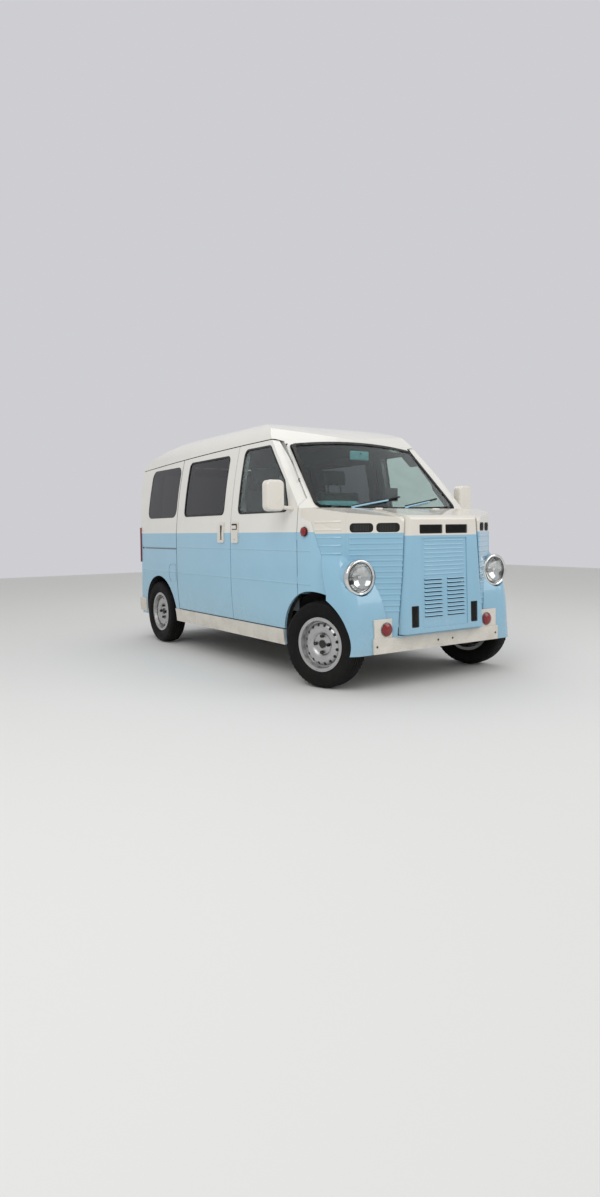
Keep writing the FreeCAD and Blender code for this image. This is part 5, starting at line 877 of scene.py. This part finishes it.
def add_rear_details():
    """Handle, lock, blank plate and its lamps on the tailgate, and the panel that closes the body."""
    grip = block((-1.6620, -0.115, 0.872), (-1.6430, 0.115, 0.912), 0.005, 3)
    lock = rounded_rod((-1.6440, 0.0, 0.842), (-1.6540, 0.0, 0.842), 0.011)
    settle(joined([grip, lock]), "tailgate_handle", "tailgate", chrome)
    plate = block((-1.6560, -0.165, 0.560), (-1.6510, 0.165, 0.725), 0.002, 2)
    settle(plate, "rear_plate", "tailgate", plate_white)
    lamps = []
    for y in (-0.10, 0.10):
        lamps.append(block((-1.6620, y - 0.026, 0.738), (-1.6440, y + 0.026, 0.762), 0.004, 3))
    settle(joined(lamps), "plate_lamps", "tailgate", seal_rubber)
    panel = block((-1.5900, -0.530, 0.392), (-1.5840, 0.530, 0.606), 0.002, 2)
    rail = block((-1.5960, -0.500, 0.470), (-1.5850, 0.500, 0.520), 0.004, 3)
    settle(joined([panel, rail]), "rear_panel", "body", underseal)


# Cabin details

def add_cabin_details():
    """Screen on the dashboard, inside mirror, instrument hood and gear lever."""
    screen = block((1.0860, -0.004, 1.160), (1.1000, 0.120, 1.252), 0.004, 3)
    stalk = rounded_rod((1.0980, 0.058, 1.055), (1.0940, 0.058, 1.170), 0.008)
    settle(joined([screen, stalk]), "dash_screen", "body", seal_rubber)
    head = block((0.8130, -0.080, 1.461), (0.8370, 0.080, 1.527), 0.0095, 5)
    stem = rounded_rod((0.8250, 0.0, 1.510), (0.8620, 0.0, 1.510), 0.0055)
    mirror = settle(joined([head, stem]), "rear_view_mirror", "body", dash_plastic)
    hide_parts("interior_mirror")
    cluster = block((0.960, -0.500, 1.030), (1.085, -0.200, 1.160), 0.022, 5)
    settle(cluster, "instrument_hood", "body", dash_plastic)
    lever = rounded_rod((0.700, 0.0, 0.640), (0.740, 0.0, 0.900), 0.008)
    knob = rounded_rod((0.738, 0.0, 0.890), (0.746, 0.0, 0.945), 0.021, 32, 0.6)
    settle(joined([lever, knob]), "gear_lever", "body", wheel_plastic)


# Seats

cushion_voxel = 0.009
cushion_pressure = 4.0
cushion_frames = 20
cushion_cap = 0.012
headrest_cap = 0.008
seat_y = -0.33
headrest_post_y = 0.0625


def swollen(obj, cap):
    """Remeshes a soft block and lets cloth under pressure round it out, no point moving further than cap."""
    baked(obj)
    obj.data.remesh_voxel_size = cushion_voxel
    bpy.ops.object.voxel_remesh()
    rest = [vert.co.copy() for vert in obj.data.vertices]
    cover = obj.modifiers.new("cloth", "CLOTH")
    cover.settings.use_pressure = True
    cover.settings.uniform_pressure_force = cushion_pressure
    cover.settings.effector_weights.gravity = 0.0
    cover.point_cache.frame_start = 1
    cover.point_cache.frame_end = cushion_frames
    for step in range(1, cushion_frames + 1):
        bpy.context.scene.frame_set(step)
    bpy.ops.object.modifier_apply(modifier="cloth")
    bpy.context.scene.frame_set(1)
    for vert, start in zip(obj.data.vertices, rest):
        moved = vert.co - start
        if moved.length > cap:
            vert.co = start + moved * (cap / moved.length)
    finer = obj.modifiers.new("finer", "SUBSURF")
    finer.levels = 1
    finer.render_levels = 1
    bpy.ops.object.modifier_apply(modifier="finer")
    return obj


def seat_piece(obj, name):
    piece = settle(obj, name, "body", seat_cloth, 60)
    return piece


def leaning_block(low, high, foot, lean, bevel):
    """A block that leans back about its foot."""
    obj = block(low, high, bevel, 4)
    baked(obj)
    turn = Matrix.Rotation(-math.radians(lean), 4, "Y")
    obj.matrix_world = Matrix.Translation(foot) @ turn @ Matrix.Translation(-Vector(foot))
    return obj


def add_seats():
    """Two front seats and a bench, with cushions of simulated cloth on plain plinths."""
    bottom = block((0.185, -0.545, 0.704), (0.625, -0.115, 0.796), 0.030, 4)
    back = leaning_block((0.182, -0.545, 0.835), (0.256, -0.115, 1.285), (0.182, seat_y, 0.835), 14.0, 0.026)
    rest = leaning_block((0.052, -0.443, 1.330), (0.100, -0.217, 1.452), (0.060, seat_y, 1.330), 8.0, 0.018)
    cushions = (
        (bottom, cushion_cap, "seat_bottom"),
        (back, cushion_cap, "seat_back"),
        (rest, headrest_cap, "headrest"),
    )
    for plain, cap, label in cushions:
        master = swollen(plain, cap)
        twin = mirrored(master)
        seat_piece(master, label + "_right")
        seat_piece(twin, label + "_left")
    bench = block((-0.605, -0.545, 0.714), (-0.195, 0.545, 0.806), 0.030, 4)
    seat_piece(swollen(bench, cushion_cap), "bench_bottom")
    upright = leaning_block((-0.608, -0.545, 0.845), (-0.534, 0.545, 1.125), (-0.608, 0, 0.845), 14.0, 0.026)
    seat_piece(swollen(upright, cushion_cap), "bench_back")
    bases = []
    for y in (seat_y, -seat_y):
        bases.append(block((0.204, y - 0.196, 0.6255), (0.566, y + 0.196, 0.712), 0.012, 3))
        for post_y in (y - headrest_post_y, y + headrest_post_y):
            bases.append(rounded_rod((0.078, post_y, 1.262), (0.078, post_y, 1.345), 0.0055, 16))
    bases.append(block((-0.586, -0.526, 0.6255), (-0.214, 0.526, 0.722), 0.012, 3))
    frames = settle(joined(bases), "seat_bases", "body", wheel_plastic)
    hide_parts("seats")


put_on_wheels(make_tread_tyre(), "tread_tyre", tyre_rubber, 30)
put_on_wheels(make_wheel_nuts_and_shade(), "wheel_nuts_and_shade", nut_and_shade_black, 30)
add_frames()
add_handles()
add_aerial()
add_door_cards()
add_lamp_details()
add_rear_details()
add_cabin_details()
add_seats()


# Stage, lights and camera

def add_stage():
    floor_half = 12.0
    bpy.ops.mesh.primitive_plane_add(size=2 * floor_half, location=(0, 0, 0))
    floor = bpy.context.object
    floor.name = "studio_floor"
    material, tree, shader = start_material("floor_paint", 0.75)
    shader.inputs["Base Color"].default_value = srgb(214, 214, 212)
    floor.data.materials.append(material)


def add_light(name, place, target, size, power):
    bpy.ops.object.light_add(type="AREA", location=place)
    lamp = bpy.context.object
    lamp.name = name
    lamp.data.size = size
    lamp.data.energy = power
    lamp.rotation_euler = (Vector(target) - Vector(place)).to_track_quat("-Z", "Y").to_euler()
    return lamp


def add_world():
    world = bpy.data.worlds.new("studio_world")
    bpy.context.scene.world = world
    world.use_nodes = True
    tree = world.node_tree
    backdrop = tree.nodes["Background"]
    backdrop.inputs["Color"].default_value = (1.0, 1.0, 1.0, 1.0)
    backdrop.inputs["Strength"].default_value = 0.68
    shown = tree.nodes.new("ShaderNodeBackground")
    shown.inputs["Color"].default_value = srgb(206, 206, 210)
    rays = tree.nodes.new("ShaderNodeLightPath")
    direct = math_node(tree, "MAXIMUM", rays.outputs["Is Camera Ray"], rays.outputs["Is Transmission Ray"])
    seen = math_node(tree, "MAXIMUM", direct, rays.outputs["Is Glossy Ray"])
    chooser = tree.nodes.new("ShaderNodeMixShader")
    tree.links.new(seen, chooser.inputs[0])
    tree.links.new(backdrop.outputs[0], chooser.inputs[1])
    tree.links.new(shown.outputs[0], chooser.inputs[2])
    tree.links.new(chooser.outputs[0], tree.nodes["World Output"].inputs["Surface"])


def add_camera():
    place = Vector((4.996, -3.309, 0.971))
    azimuth = math.radians(56.2174)
    pitch = math.radians(2.1195)
    roll = math.radians(-0.7111)
    frame_height = 1197
    focal_pixels = 740.09
    centre_shift = 598.5 - 557.5
    ahead = Vector((-math.sin(azimuth), math.cos(azimuth), 0))
    forward = ahead * math.cos(pitch) - Vector((0, 0, math.sin(pitch)))
    level = Vector((math.cos(azimuth), math.sin(azimuth), 0))
    up = level.cross(forward)
    right = level * math.cos(roll) + up * math.sin(roll)
    above = up * math.cos(roll) - level * math.sin(roll)
    camera = bpy.data.cameras.new("photo_camera")
    camera.sensor_width = 36.0
    camera.lens = focal_pixels * camera.sensor_width / frame_height
    camera.shift_y = -centre_shift / frame_height
    holder = bpy.data.objects.new("photo_camera", camera)
    bpy.context.scene.collection.objects.link(holder)
    turn = Matrix((right, above, -forward)).transposed().to_4x4()
    holder.matrix_world = Matrix.Translation(place) @ turn
    bpy.context.scene.camera = holder


add_stage()
add_world()
add_light("key_light", (3.5, -4.5, 4.6), (0.6, 0, 0.8), 4.0, 138)
add_light("fill_light", (5.5, 3.0, 3.6), (0.8, 0, 0.8), 4.0, 90)
add_light("top_light", (-1.3, 0, 5.2), (-0.8, 0, 0), 4.0, 55)
add_camera()
bpy.context.scene.view_settings.view_transform = "Standard"
